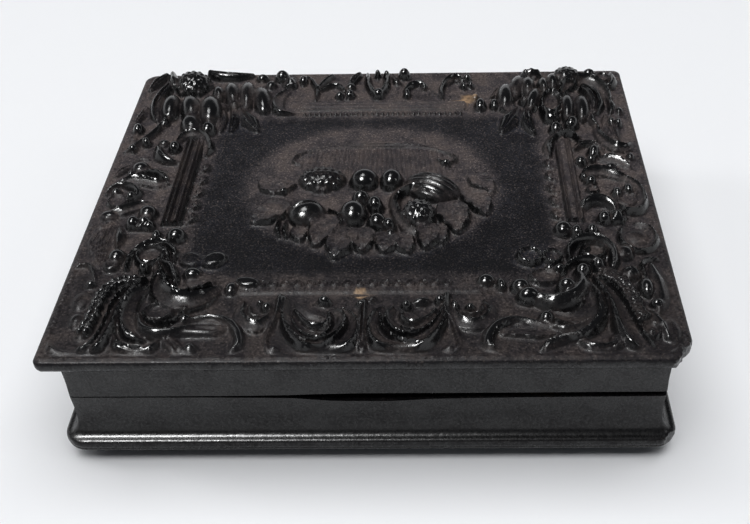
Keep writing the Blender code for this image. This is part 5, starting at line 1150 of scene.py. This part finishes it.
def silvered():
    """A blank silvered plate, tarnished blue and brown in from its edges."""
    made = Nodes("silvered_plate", Metallic=1.0)
    split = made.add("ShaderNodeSeparateXYZ", {0: made.place()})
    # One on the rim of the mat's oval window
    squares = []
    for axis, half in (("X", 29), ("Y", 22.5)):
        share = made.math("ABSOLUTE", made.math("DIVIDE", split.outputs[axis], half * UNIT))
        squares.append(made.math("POWER", share, 2.0))
    ring = made.math("SQRT", made.math("ADD", *squares))
    edge = made.math("ADD", ring, made.span(made.noise(4, 4), 0.2, 0.8, -0.12, 0.12))
    blue = made.mix(made.span(edge, 0.72, 0.9), (0.50, 0.49, 0.47), (0.20, 0.24, 0.34))
    brown = made.mix(made.span(edge, 0.9, 1.0), blue, (0.30, 0.17, 0.08))
    made.set("Base Color", brown)
    made.set("Roughness", made.span(made.noise(1.2, 4), 0.2, 0.8, 0.16, 0.34))
    return made.material


def glass():
    made = Nodes("clear_glass", Transmission_Weight=1.0, IOR=1.46, Roughness=0.02)
    tint = made.span(made.noise(9, 3), 0.3, 0.7)
    made.set("Base Color", made.mix(tint, (0.93, 0.97, 0.95), (0.97, 0.99, 0.97)))
    made.set("Normal", made.bump(made.noise(12, 1), 0.02, 0.2))
    return made.material


def dress(node, finish):
    """Gives a CAD node a finished material."""
    piece = frame["nodes"][node]
    piece.data.materials.clear()
    piece.data.materials.append(finish)
    piece.data.shade_smooth()
    piece.data.set_sharp_from_angle(angle=math.radians(32))


def rounded(x, y, half_w, half_d, radii):
    """Bends the corners of a rectangle's places round, each to its own radius."""
    x, y = x.copy(), y.copy()
    for radius, way_x, way_y in zip(radii, (-1, 1, 1, -1), (-1, -1, 1, 1)):
        right = (x * way_x - half_w) / radius + 1
        up = (y * way_y - half_d) / radius + 1
        inside = (right > 0) & (up > 0)
        over, above = np.clip(right, 0, 1), np.clip(up, 0, 1)
        new_x = way_x * (half_w + radius * (over * np.sqrt(1 - above**2 / 2) - 1))
        new_y = way_y * (half_d + radius * (above * np.sqrt(1 - over**2 / 2) - 1))
        x, y = np.where(inside, new_x, x), np.where(inside, new_y, y)
    return x, y


def border(rows, columns):
    """Numbers of a net's border places, anticlockwise from its front left corner."""
    net = np.arange(rows * columns).reshape(rows, columns)
    return np.concatenate([net[0, :-1], net[:-1, -1], net[-1, :0:-1], net[:0:-1, 0]])


def net_faces(rows, columns):
    net = np.arange(rows * columns).reshape(rows, columns)
    return np.stack([net[:-1, :-1], net[:-1, 1:], net[1:, 1:], net[1:, :-1]], axis=-1).reshape(-1, 4)


def band_faces(one, other):
    """Faces between two rings of numbers, where the second may keep only every few places."""
    skip = len(one) // len(other)
    sides = [np.roll(one, -step)[::skip] for step in range(skip, -1, -1)]
    return np.stack([*sides, other, np.roll(other, -1)], axis=-1)


def blurred(values, reach):
    """Values smoothed over this many steps of the net."""
    most = math.ceil(3 * reach)
    weights = np.exp(-((np.arange(-most, most + 1) / reach) ** 2) / 2)
    weights = weights / weights.sum()
    for axis in (0, 1):
        padding = [(most, most) if axis == a else (0, 0) for a in (0, 1)]
        wide = np.pad(values, padding, mode="edge")
        values = np.apply_along_axis(np.convolve, axis, wide, weights, mode="valid")
    return values


class Skin:
    """A piece that grows ring by ring, in millimetres, with marks for its places."""

    def __init__(self):
        self.rows, self.faces, self.count, self.last = [], [], 0, None

    def put(self, x, y, z, marks=()):
        """Adds places and gives their numbers."""
        size = np.size(x)
        columns = [np.broadcast_to(np.ravel(values), size) for values in (x, y, z, *marks)]
        self.rows.append(np.column_stack(columns))
        self.count += size
        return np.arange(self.count - size, self.count)

    def ring(self, x, y, z, marks=(), turned=False):
        """Adds a ring of places and joins it to the one before."""
        ring = self.put(x, y, z, marks)
        if self.last is not None:
            band = band_faces(self.last, ring)
            self.faces += list(band[:, ::-1] if turned else band)
        self.last = ring

    def piece(self, name, finish):
        """The piece without the places that no face uses; they are kept in self.placed."""
        used = np.zeros(self.count, bool)
        used[np.concatenate(self.faces)] = True
        number = np.cumsum(used) - 1
        rows = np.vstack(self.rows)[used]
        self.placed = rows[:, :3] * UNIT
        made = new_object(name, self.placed, [number[face] for face in self.faces])
        for label, values in zip(MARKS, rows.T[3:]):
            mark = made.data.attributes.new(label, "FLOAT", "POINT")
            mark.data.foreach_set("value", values.astype(np.float32))
        made.data.materials.append(finish)
        return made


def settle(piece, sharp_angle):
    """Applies a piece's modifiers and shades it."""
    graph = bpy.context.evaluated_depsgraph_get()
    mesh = bpy.data.meshes.new_from_object(piece.evaluated_get(graph), depsgraph=graph)
    piece.modifiers.clear()
    piece.data = mesh
    mesh.name = piece.name
    mesh.shade_smooth()
    mesh.set_sharp_from_angle(angle=math.radians(sharp_angle))


BOX_FACES = ((0, 1, 3, 2), (2, 3, 7, 6), (6, 7, 5, 4), (4, 5, 1, 0), (2, 6, 4, 0), (7, 3, 1, 5))


def cutter_box(name, low, high):
    xs, ys, zs = zip(low, high)
    return new_object(name, [(x, y, z) for x in xs for y in ys for z in zs], BOX_FACES)


def carve(piece, cutters, sharp_angle):
    """Takes the cutters out of a piece, applies its modifiers and lets the cutters go."""
    for cutter in cutters:
        step = piece.modifiers.new(cutter.name, "BOOLEAN")
        step.operation = "DIFFERENCE"
        step.solver = "MANIFOLD"
        step.object = cutter
    settle(piece, sharp_angle)
    for cutter in cutters:
        bpy.data.objects.remove(cutter, do_unlink=True)


def pockets(shell, low_z, high_z):
    """Cutters for the shallow pockets that the clasps sit in."""
    made = []
    margin = 0.35 * UNIT
    back = (-HALF_D + RIM_INSET + WALL + 1.0) * UNIT
    for side in ("left", "right"):
        low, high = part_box(f"{side}_clasp_spring")
        corners = (low.x - margin, low.y - margin, low_z * UNIT), (high.x + margin, back, high_z * UNIT)
        made.append(cutter_box(f"{shell}_{side}_pocket", *corners))
    return made


def front_only(y):
    """One at the front rim, fading out along the sides."""
    return ease(0, 1, (-y - HALF_D + RIM_INSET + 14) / 12)


# Rings of the lid below its ground: inset, height, corner radius, dust
LID_RINGS = [
    (0.16, -0.12, 1.0, 0.35), (0.04, -0.32, 1.1, 0.2), (0.0, -0.6, 1.2, 0.12), (0.0, -1.1, 1.2, 0.10),
    (0.04, -1.45, 1.2, 0.10), (0.16, -1.75, 1.1, 0.15), (0.42, -1.94, 1.0, 0.2), (0.8, -2.02, 0.8, 0.3),
]
# Rings of the raised frame underneath, from the oval in its middle outwards
FOOT_RINGS = [
    (9.2, FOOT_H, 2.0, 0.6), (8.6, FOOT_H - 0.3, 2.0, 0.5), (8.2, 0.1, 2.0, 0.3), (7.9, 0, 2.0, 0.3),
    (6.1, 0, 2.2, 0.3), (5.8, 0.12, 2.2, 0.3), (5.3, FOOT_H - 0.4, 2.4, 0.4), (4.9, FOOT_H, 2.4, 0.6),
]
# Rings of the base's lip, above the raised frame
BASE_LIP_RINGS = [
    (4.2, 0.0, 1.2, 0.3), (0.75, 0.0, 1.4, 0.1), (0.35, 0.05, 1.6, 0.05), (0.14, 0.22, 1.8, 0.05),
    (0.08, 0.5, 1.8, 0.05), (0.14, 0.62, 1.8, 0.1), (0.10, 0.74, 1.8, 0.1), (0.0, 0.95, 1.8, 0.08),
    (0.0, 1.35, 1.8, 0.1), (0.10, 1.72, 1.7, 0.1), (0.32, 1.98, 1.5, 0.1), (0.62, 2.1, 1.3, 0.04),
]

# Steps up the coves and up the rims
COVE_STEPS = 12
RIM_STEPS = 4


def cove_rings(start, cove_h, rim_z, way):
    """A quarter hollow from the lip in to the upright rim, and the rim: rings as in the tables."""
    inset, z, radius, _ = start
    rings = []
    for step in range(1, COVE_STEPS + 1):
        turn = math.pi / 2 * step / COVE_STEPS
        height = z + way * cove_h * (1 - math.cos(turn))
        # Dust fades out toward the lip, so the hollow is painted darker next to the lip: painted shade
        rings.append((inset + (RIM_INSET - inset) * math.sin(turn), height,
                      radius + (0.5 - radius) * step / COVE_STEPS, 0.09 * min(step / 8, 1)))
    cove_z = z + way * cove_h
    for step in range(1, RIM_STEPS + 1):
        height = cove_z + (rim_z - cove_z) * step / RIM_STEPS
        rings.append((RIM_INSET + 0.04 * math.sin(step), height, 0.45, 0.07))
    return rings


def ring_places(x, y, half_w, half_d, inset, radii):
    scale_x, scale_y = (HALF_W - inset) / half_w, (HALF_D - inset) / half_d
    return rounded(x * scale_x, y * scale_y, HALF_W - inset, HALF_D - inset, radii)


def thinned_faces(height):
    """Faces of a net, with one face for each level block of cells."""
    rows, columns = height.shape
    net = np.arange(rows * columns).reshape(rows, columns)
    down, across = (rows - 1) // BLOCK, (columns - 1) // BLOCK
    level = np.zeros((down + 2, across + 2), bool)
    for i in range(down):
        for j in range(across):
            top, left = i * BLOCK, j * BLOCK
            block = height[top:top + BLOCK + 1, left:left + BLOCK + 1]
            level[i + 1, j + 1] = block.max() - block.min() < LEVEL
    fine = np.repeat(np.repeat(~level[1:-1, 1:-1], BLOCK, axis=0), BLOCK, axis=1)
    faces = list(net_faces(rows, columns).reshape(rows - 1, columns - 1, 4)[fine])
    for i, j in zip(*np.nonzero(level[1:-1, 1:-1])):
        top, left = i * BLOCK, j * BLOCK
        sides = [
            (net[top, left:left + BLOCK], level[i, j + 1]),
            (net[top:top + BLOCK, left + BLOCK], level[i + 1, j + 2]),
            (net[top + BLOCK, left + BLOCK:left:-1], level[i + 2, j + 1]),
            (net[top + BLOCK:top:-1, left], level[i + 1, j]),
        ]
        faces.append(np.concatenate([side[:1] if plain else side for side, plain in sides]))
    return faces


def wear(relief, x, y):
    """Marks of the lid's top: dust, with painted sheen toward the back, panel, chip and polish."""
    height = relief.height
    slope_y, slope_x = np.gradient(height, NET_STEP)
    upright = 1 / np.sqrt(1 + slope_x**2 + slope_y**2)
    proud = height - blurred(height, round(1.3 / NET_STEP))
    near = blurred((height > 0.35).astype(float), round(1.6 / NET_STEP))
    # The sunk panel, and where it is clear of the middle's forms
    inner = ease(-1.5, 1.5, 29.6 - np.abs(x)) * ease(-1.2, 1.5, y + 21.6) * ease(-1.5, 1.5, 23.6 - y)
    panel = inner * ease(0.88, 1.06, np.hypot((x + 0.5) / 22.5, (y - 2.0) / 19.5))
    polished = ease(0.05, 0.5, proud) * ease(0.45, 1.0, height) * (1 - 0.9 * relief.matt)
    dust_and_painted_light = ease(0.35, 0.9, upright) * (1 - polished) * (1 - 0.55 * panel * (1 - ease(0.05, 0.5, near)))
    clean = 0.5 * ease(0.5, 2.0, height) * (1 - relief.matt)
    # Dust thins toward the front and thickens toward the back, so the ground is painted lighter toward
    # the back: painted sheen of light grazing the far side, on top of real dust
    dust_and_painted_light = dust_and_painted_light * (1 - clean) * (0.40 + 0.60 * ease(-36, 14, y))
    chip = np.zeros_like(height)
    for chip_x, chip_y, chip_r in CHIPS:
        chip = np.maximum(chip, ease(1.15, 0.75, np.hypot(x - chip_x, y - chip_y) / chip_r))
    return dust_and_painted_light, panel, chip, polished


def lid_cover(finish):
    """The lid in one closed skin: relief, lip, cove, rim and the hollow inside."""
    relief = make_relief(HALF_W - TOP_INSET, HALF_D - TOP_INSET, NET_STEP)
    x, y = np.meshgrid(relief.xs, relief.ys)
    half_w, half_d = relief.xs[-1], relief.ys[-1]
    height = relief.height
    skin = Skin()
    skin.put(*rounded(x, y, half_w, half_d, TOP_RADII), GROUND_Z + height, wear(relief, x, y))
    skin.faces += thinned_faces(height)
    skin.last = border(*x.shape)
    edge_x, edge_y, edge_h = (values.ravel()[skin.last] for values in (x, y, height))

    rings = [(inset, GROUND_Z + z, radius, dust_and_painted_light) for inset, z, radius, dust_and_painted_light in LID_RINGS]
    seam_z = PARTING_Z + LID_GAP
    rings += cove_rings(rings[-1], LID_COVE_H, seam_z, -1)
    rings += [(RIM_INSET + WALL, seam_z, 1.0, 0.3), (RIM_INSET + WALL, CEILING_Z, 1.0, 0.5)]
    lip = len(LID_RINGS)
    rim = lip + COVE_STEPS
    for number, (inset, z, radius, dust_and_painted_light) in enumerate(rings):
        grow = 1 if number < lip else 0.3
        radii = [radius, radius, radius * (1 + 0.3 * grow), radius * (1 + 1.4 * grow)]
        if number == FINE_RINGS:
            edge_x, edge_y = edge_x[::BLOCK], edge_y[::BLOCK]
        ring_x, ring_y = ring_places(edge_x, edge_y, half_w, half_d, inset, radii)
        ring_z = np.full(len(ring_x), z)
        if number == 0:
            ring_z = ring_z + edge_h * 0.8
        if rim < number < len(rings) - 1:
            share = min((number - rim) / (RIM_STEPS - 1), 1)
            ring_z = ring_z + share * np.interp(ring_x, SEAM_PLACES, LID_RISES) * front_only(ring_y)
        skin.ring(ring_x, ring_y, ring_z, (dust_and_painted_light, *WALL_MARKS))
    skin.faces.append(skin.last[::-1])
    cover = skin.piece("lid_cover", finish)
    rough = np.flatnonzero(skin.placed[:, 2] > (GROUND_Z + 0.01) * UNIT)
    cover.vertex_groups.new(name="rough").add(rough.tolist(), 1.0, "REPLACE")
    return cover


def slab(name, front, back):
    """A closed cutter between two nets of places."""
    rows, columns = front.shape[:2]
    count = rows * columns
    edge = border(rows, columns)
    net = net_faces(rows, columns)
    faces = np.vstack([net[:, ::-1], net + count, band_faces(edge + count, edge)])
    return new_object(name, np.vstack([front.reshape(-1, 3), back.reshape(-1, 3)]) * UNIT, faces)


def fracture(name, start, end, low, high, rough):
    """A cutter that leaves a rough break between two places of the outline."""
    reach, steps = 9.0, 36
    start, end = np.array(start, float), np.array(end, float)
    along = (end - start) / np.hypot(*(end - start))
    out = np.array([along[1], -along[0]])
    shares, heights = np.meshgrid(np.linspace(-0.6, 1.6, steps), np.linspace(low, high, steps))
    lumps = [noise.noise(Vector((share * 2.3, z * 0.35, 3)))
             + 0.4 * noise.noise(Vector((share * 9, z * 1.6, 8)))
             for share, z in zip(shares.ravel(), heights.ravel())]
    away = rough * np.array(lumps).reshape(shares.shape)
    x = start[0] + (end[0] - start[0]) * shares + out[0] * away
    y = start[1] + (end[1] - start[1]) * shares + out[1] * away
    front = np.stack([x, y, heights], axis=-1)
    back = np.stack([x + out[0] * (reach - away), y + out[1] * (reach - away), heights], axis=-1)
    return slab(name, front, back)


def make_lid(finish):
    cover = lid_cover(finish)
    cutters = pockets("lid", PARTING_Z - 1, PARTING_Z + 5.2)
    low, high = PARTING_Z + 3, GROUND_Z + 6
    cutters.append(fracture("broken_corner", (44.3, -40.9), (48.1, -36.6), low, high, 0.7))
    thin = cover.modifiers.new("thin", "DECIMATE")
    thin.ratio = THINNED
    thin.vertex_group = "rough"
    carve(cover, cutters, 50)
    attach(cover, "lid")
    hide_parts("lid_shell")


def base_cover(finish):
    """The base in one closed skin: its raised foot, lip, cove, rim and the tray inside."""
    xs = np.linspace(-HALF_W, HALF_W, round(2 * HALF_W / BASE_STEP))
    ys = np.linspace(-HALF_D, HALF_D, round(2 * HALF_D / BASE_STEP))
    x, y = np.meshgrid(xs, ys)
    edge = border(*x.shape)
    edge_x, edge_y = x.ravel()[edge], y.ravel()[edge]
    rings = FOOT_RINGS + [(inset, FOOT_H + z, radius, dust_and_painted_light) for inset, z, radius, dust_and_painted_light in BASE_LIP_RINGS]
    foot, cove = len(FOOT_RINGS), len(rings)
    rim = cove + COVE_STEPS
    seam_z = PARTING_Z - BASE_GAP
    rings += cove_rings(rings[-1], BASE_COVE_H, seam_z, 1)
    rings += [(RIM_INSET + 0.12, seam_z, 0.6, 0.3), (RIM_INSET + WALL, seam_z, 1.0, 0.3),
              (RIM_INSET + WALL, FLOOR_Z, 1.0, 0.6)]
    skin = Skin()
    for number, (inset, z, radius, dust_and_painted_light) in enumerate(rings):
        front = radius * 2 if foot <= number < cove else radius
        radii = [front, front, radius, radius]
        ring_x, ring_y = ring_places(edge_x, edge_y, HALF_W, HALF_D, inset, radii)
        ring_z = np.full(len(ring_x), z)
        if rim <= number < len(rings) - 1:
            share = min((number - rim + 1) / RIM_STEPS, 1)
            ring_z = ring_z - share * np.interp(ring_x, SEAM_PLACES, BASE_DROPS) * front_only(ring_y)
        skin.ring(ring_x, ring_y, ring_z, (dust_and_painted_light, *WALL_MARKS), turned=True)
    skin.faces += [np.arange(len(edge_x))[::-1], skin.last]
    return skin.piece("base_cover", finish)


def make_base(finish):
    cover = base_cover(finish)
    cutters = pockets("base", 5.9, PARTING_Z + 1)
    low, high = FOOT_H - 1, PARTING_Z - 2
    cutters.append(fracture("base_left_chip", (-48.1, -38.6), (-45.6, -40.9), low, high, 0.35))
    cutters.append(fracture("base_right_chip", (45.2, -40.9), (48.1, -38.2), low, high, 0.35))
    carve(cover, cutters, 40)
    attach(cover, "base")
    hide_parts("base_shell")


def frame_ring(half_w, half_d, radius, spacing):
    """Places round a rounded rectangle at an even spacing, anticlockwise from the front left."""
    straight_w, straight_d = half_w - radius, half_d - radius
    corner_steps = 6
    points = []
    sides = [((-1, -1), (1, 0), straight_w, -90), ((1, -1), (0, 1), straight_d, 0),
             ((1, 1), (-1, 0), straight_w, 90), ((-1, 1), (0, -1), straight_d, 180)]
    for (way_x, way_y), (run_x, run_y), half, start in sides:
        count = max(2, round(2 * half / spacing))
        base_x = way_x * straight_w + (0 if run_x else way_x * radius)
        base_y = way_y * straight_d + (0 if run_y else way_y * radius)
        for step in range(count):
            share = 2 * half * step / count
            points.append((base_x + run_x * share, base_y + run_y * share))
        corner_x = -way_x if run_x else way_x
        corner_y = -way_y if run_y else way_y
        for step in range(corner_steps):
            turn = math.radians(start + 90 * step / corner_steps)
            points.append((corner_x * straight_w + radius * math.cos(turn),
                           corner_y * straight_d + radius * math.sin(turn)))
    return np.array(points)


def make_pad(finish):
    """A crowned velvet cushion in the lid, pressed with a framed lozenge pattern."""
    low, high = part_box("velvet_pad")
    half_w, half_d = (high.x - low.x) / 2 / UNIT, (high.y - low.y) / 2 / UNIT
    top, deep = high.z / UNIT, (high.z - low.z) / UNIT
    step = 0.5
    xs = np.linspace(-half_w, half_w, round(2 * half_w / step))
    ys = np.linspace(-half_d, half_d, round(2 * half_d / step))
    x, y = np.meshgrid(xs, ys)
    to_edge = np.minimum(half_w - np.abs(x), half_d - np.abs(y))
    corner = 2.1
    crown = deep - 0.15
    inward = np.clip(1 - np.hypot(x / half_w, y / half_d) ** 2, 0, 1)
    body = corner + (crown - corner) * ease(0, 1, inward**0.6)
    swell = np.sqrt(np.clip(1 - (1 - np.clip(to_edge / 3.2, 0, 1)) ** 2, 0, 1))
    pressed = 0.45 * bell(to_edge - 6.0, 0.55) + 0.3 * bell(to_edge - 8.0, 0.4)
    inner = ease(8.5, 9.5, to_edge)
    lozenge = 9.5
    for way in (-1, 1):
        across = (x + way * y) / lozenge
        line = np.abs((across + 0.5) % 1 - 0.5) * lozenge
        pressed = pressed + 0.22 * inner * bell(line, 0.5)
    lumps = [noise.noise(Vector((a / 9, b / 9, 2))) for a, b in zip(x.ravel(), y.ravel())]
    wander = np.array(lumps).reshape(x.shape)
    depth = (0.5 + (body - 0.5) * swell) - pressed * swell + 0.12 * wander * swell
    round_x, round_y = rounded(x, y, half_w, half_d, [1.6] * 4)
    skin = Skin()
    skin.put(round_x, round_y, top - depth)
    skin.faces += list(net_faces(*x.shape)[:, ::-1])
    skin.last = border(*x.shape)
    edge_x, edge_y = round_x.ravel()[skin.last], round_y.ravel()[skin.last]
    for inset, z in ((0.5, 0.25), (0.7, 0.0)):
        skin.ring(edge_x * (1 - inset / half_w), edge_y * (1 - inset / half_d), top - z, turned=True)
    skin.faces.append(skin.last)
    pad = skin.piece("velvet_cushion", finish)
    settle(pad, 60)
    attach(pad, "lid")
    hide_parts("velvet_pad")


def ring_piece(name, half_w, half_d, outline, radius, spacing, finish, ripple=None):
    """A closed frame swept round the packet from (outward, height) pairs."""
    middle = frame_ring(half_w, half_d, radius, spacing)
    skin = Skin()
    rings = []
    for out, z in outline:
        grown = middle * np.array([(half_w + out) / half_w, (half_d + out) / half_d])
        if ripple:
            z = z + ripple(np.arange(len(grown)), out)
        rings.append(skin.put(*grown.T, z))
    for one, other in zip(rings, rings[1:] + rings[:1]):
        skin.faces += list(band_faces(one, other)[:, ::-1])
    piece = skin.piece(name, finish)
    settle(piece, 50)
    return piece


def make_rail(finish):
    low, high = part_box("velvet_rail")
    thick, bottom, top = 0.44, low.z / UNIT, high.z / UNIT
    outline = [(0, bottom), (0, top - 0.25), (-0.06, top - 0.08), (-0.2, top), (-thick + 0.1, top - 0.06),
               (-thick, top - 0.25), (-thick, bottom)]
    rail = ring_piece("velvet_strip", high.x / UNIT, high.y / UNIT, outline, 1.4, 0.8, finish)
    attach(rail, "base")
    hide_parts("velvet_rail")


def make_preserver(finish):
    """The foil frame round the packet, stamped with a bead between two rolled edges."""
    low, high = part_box("preserver_frame")
    bottom, top = low.z / UNIT, high.z / UNIT
    under = top - 0.22
    outline = [(0, bottom), (0, top - 0.15), (-0.2, top), (-0.7, top + 0.12), (-1.2, top - 0.05),
               (-1.7, top + 0.02), (-2.1, top + 0.16), (-2.5, top + 0.02), (-3.0, top - 0.05),
               (-3.6, top + 0.12), (-4.0, top), (-4.2, top - 0.16), (-4.15, under - 0.03),
               (-0.25, under), (-0.25, bottom)]

    def beads(number, out):
        return 0.16 * np.cos(number * math.pi / 2) * (-2.6 < out < -1.6)

    half_w, half_d = high.x / UNIT, high.y / UNIT
    made = ring_piece("stamped_preserver", half_w, half_d, outline, 1.0, 0.42, finish, beads)
    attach(made, "base")
    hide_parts("preserver_frame")


def main():
    camera()
    studio()
    black = moulded()
    brass = metal("aged_brass", (0.52, 0.36, 0.15), (0.20, 0.12, 0.05), 0.36)
    gilt = metal("gilt_foil", (0.78, 0.56, 0.24), (0.50, 0.33, 0.12), 0.26)
    red = velvet()
    card = pasteboard()
    finishes = {
        "hinge": brass, "clasp": brass, "catch": brass, "pad_board": card, "backing_card": card,
        "image_plate": silvered(), "brass_mat": gilt_mat(), "cover_glass": glass(),
    }
    for node in frame["nodes"]:
        for word, finish in finishes.items():
            if word in node:
                dress(node, finish)
    make_base(black)
    make_lid(black)
    make_pad(red)
    make_rail(red)
    make_preserver(gilt)


main()
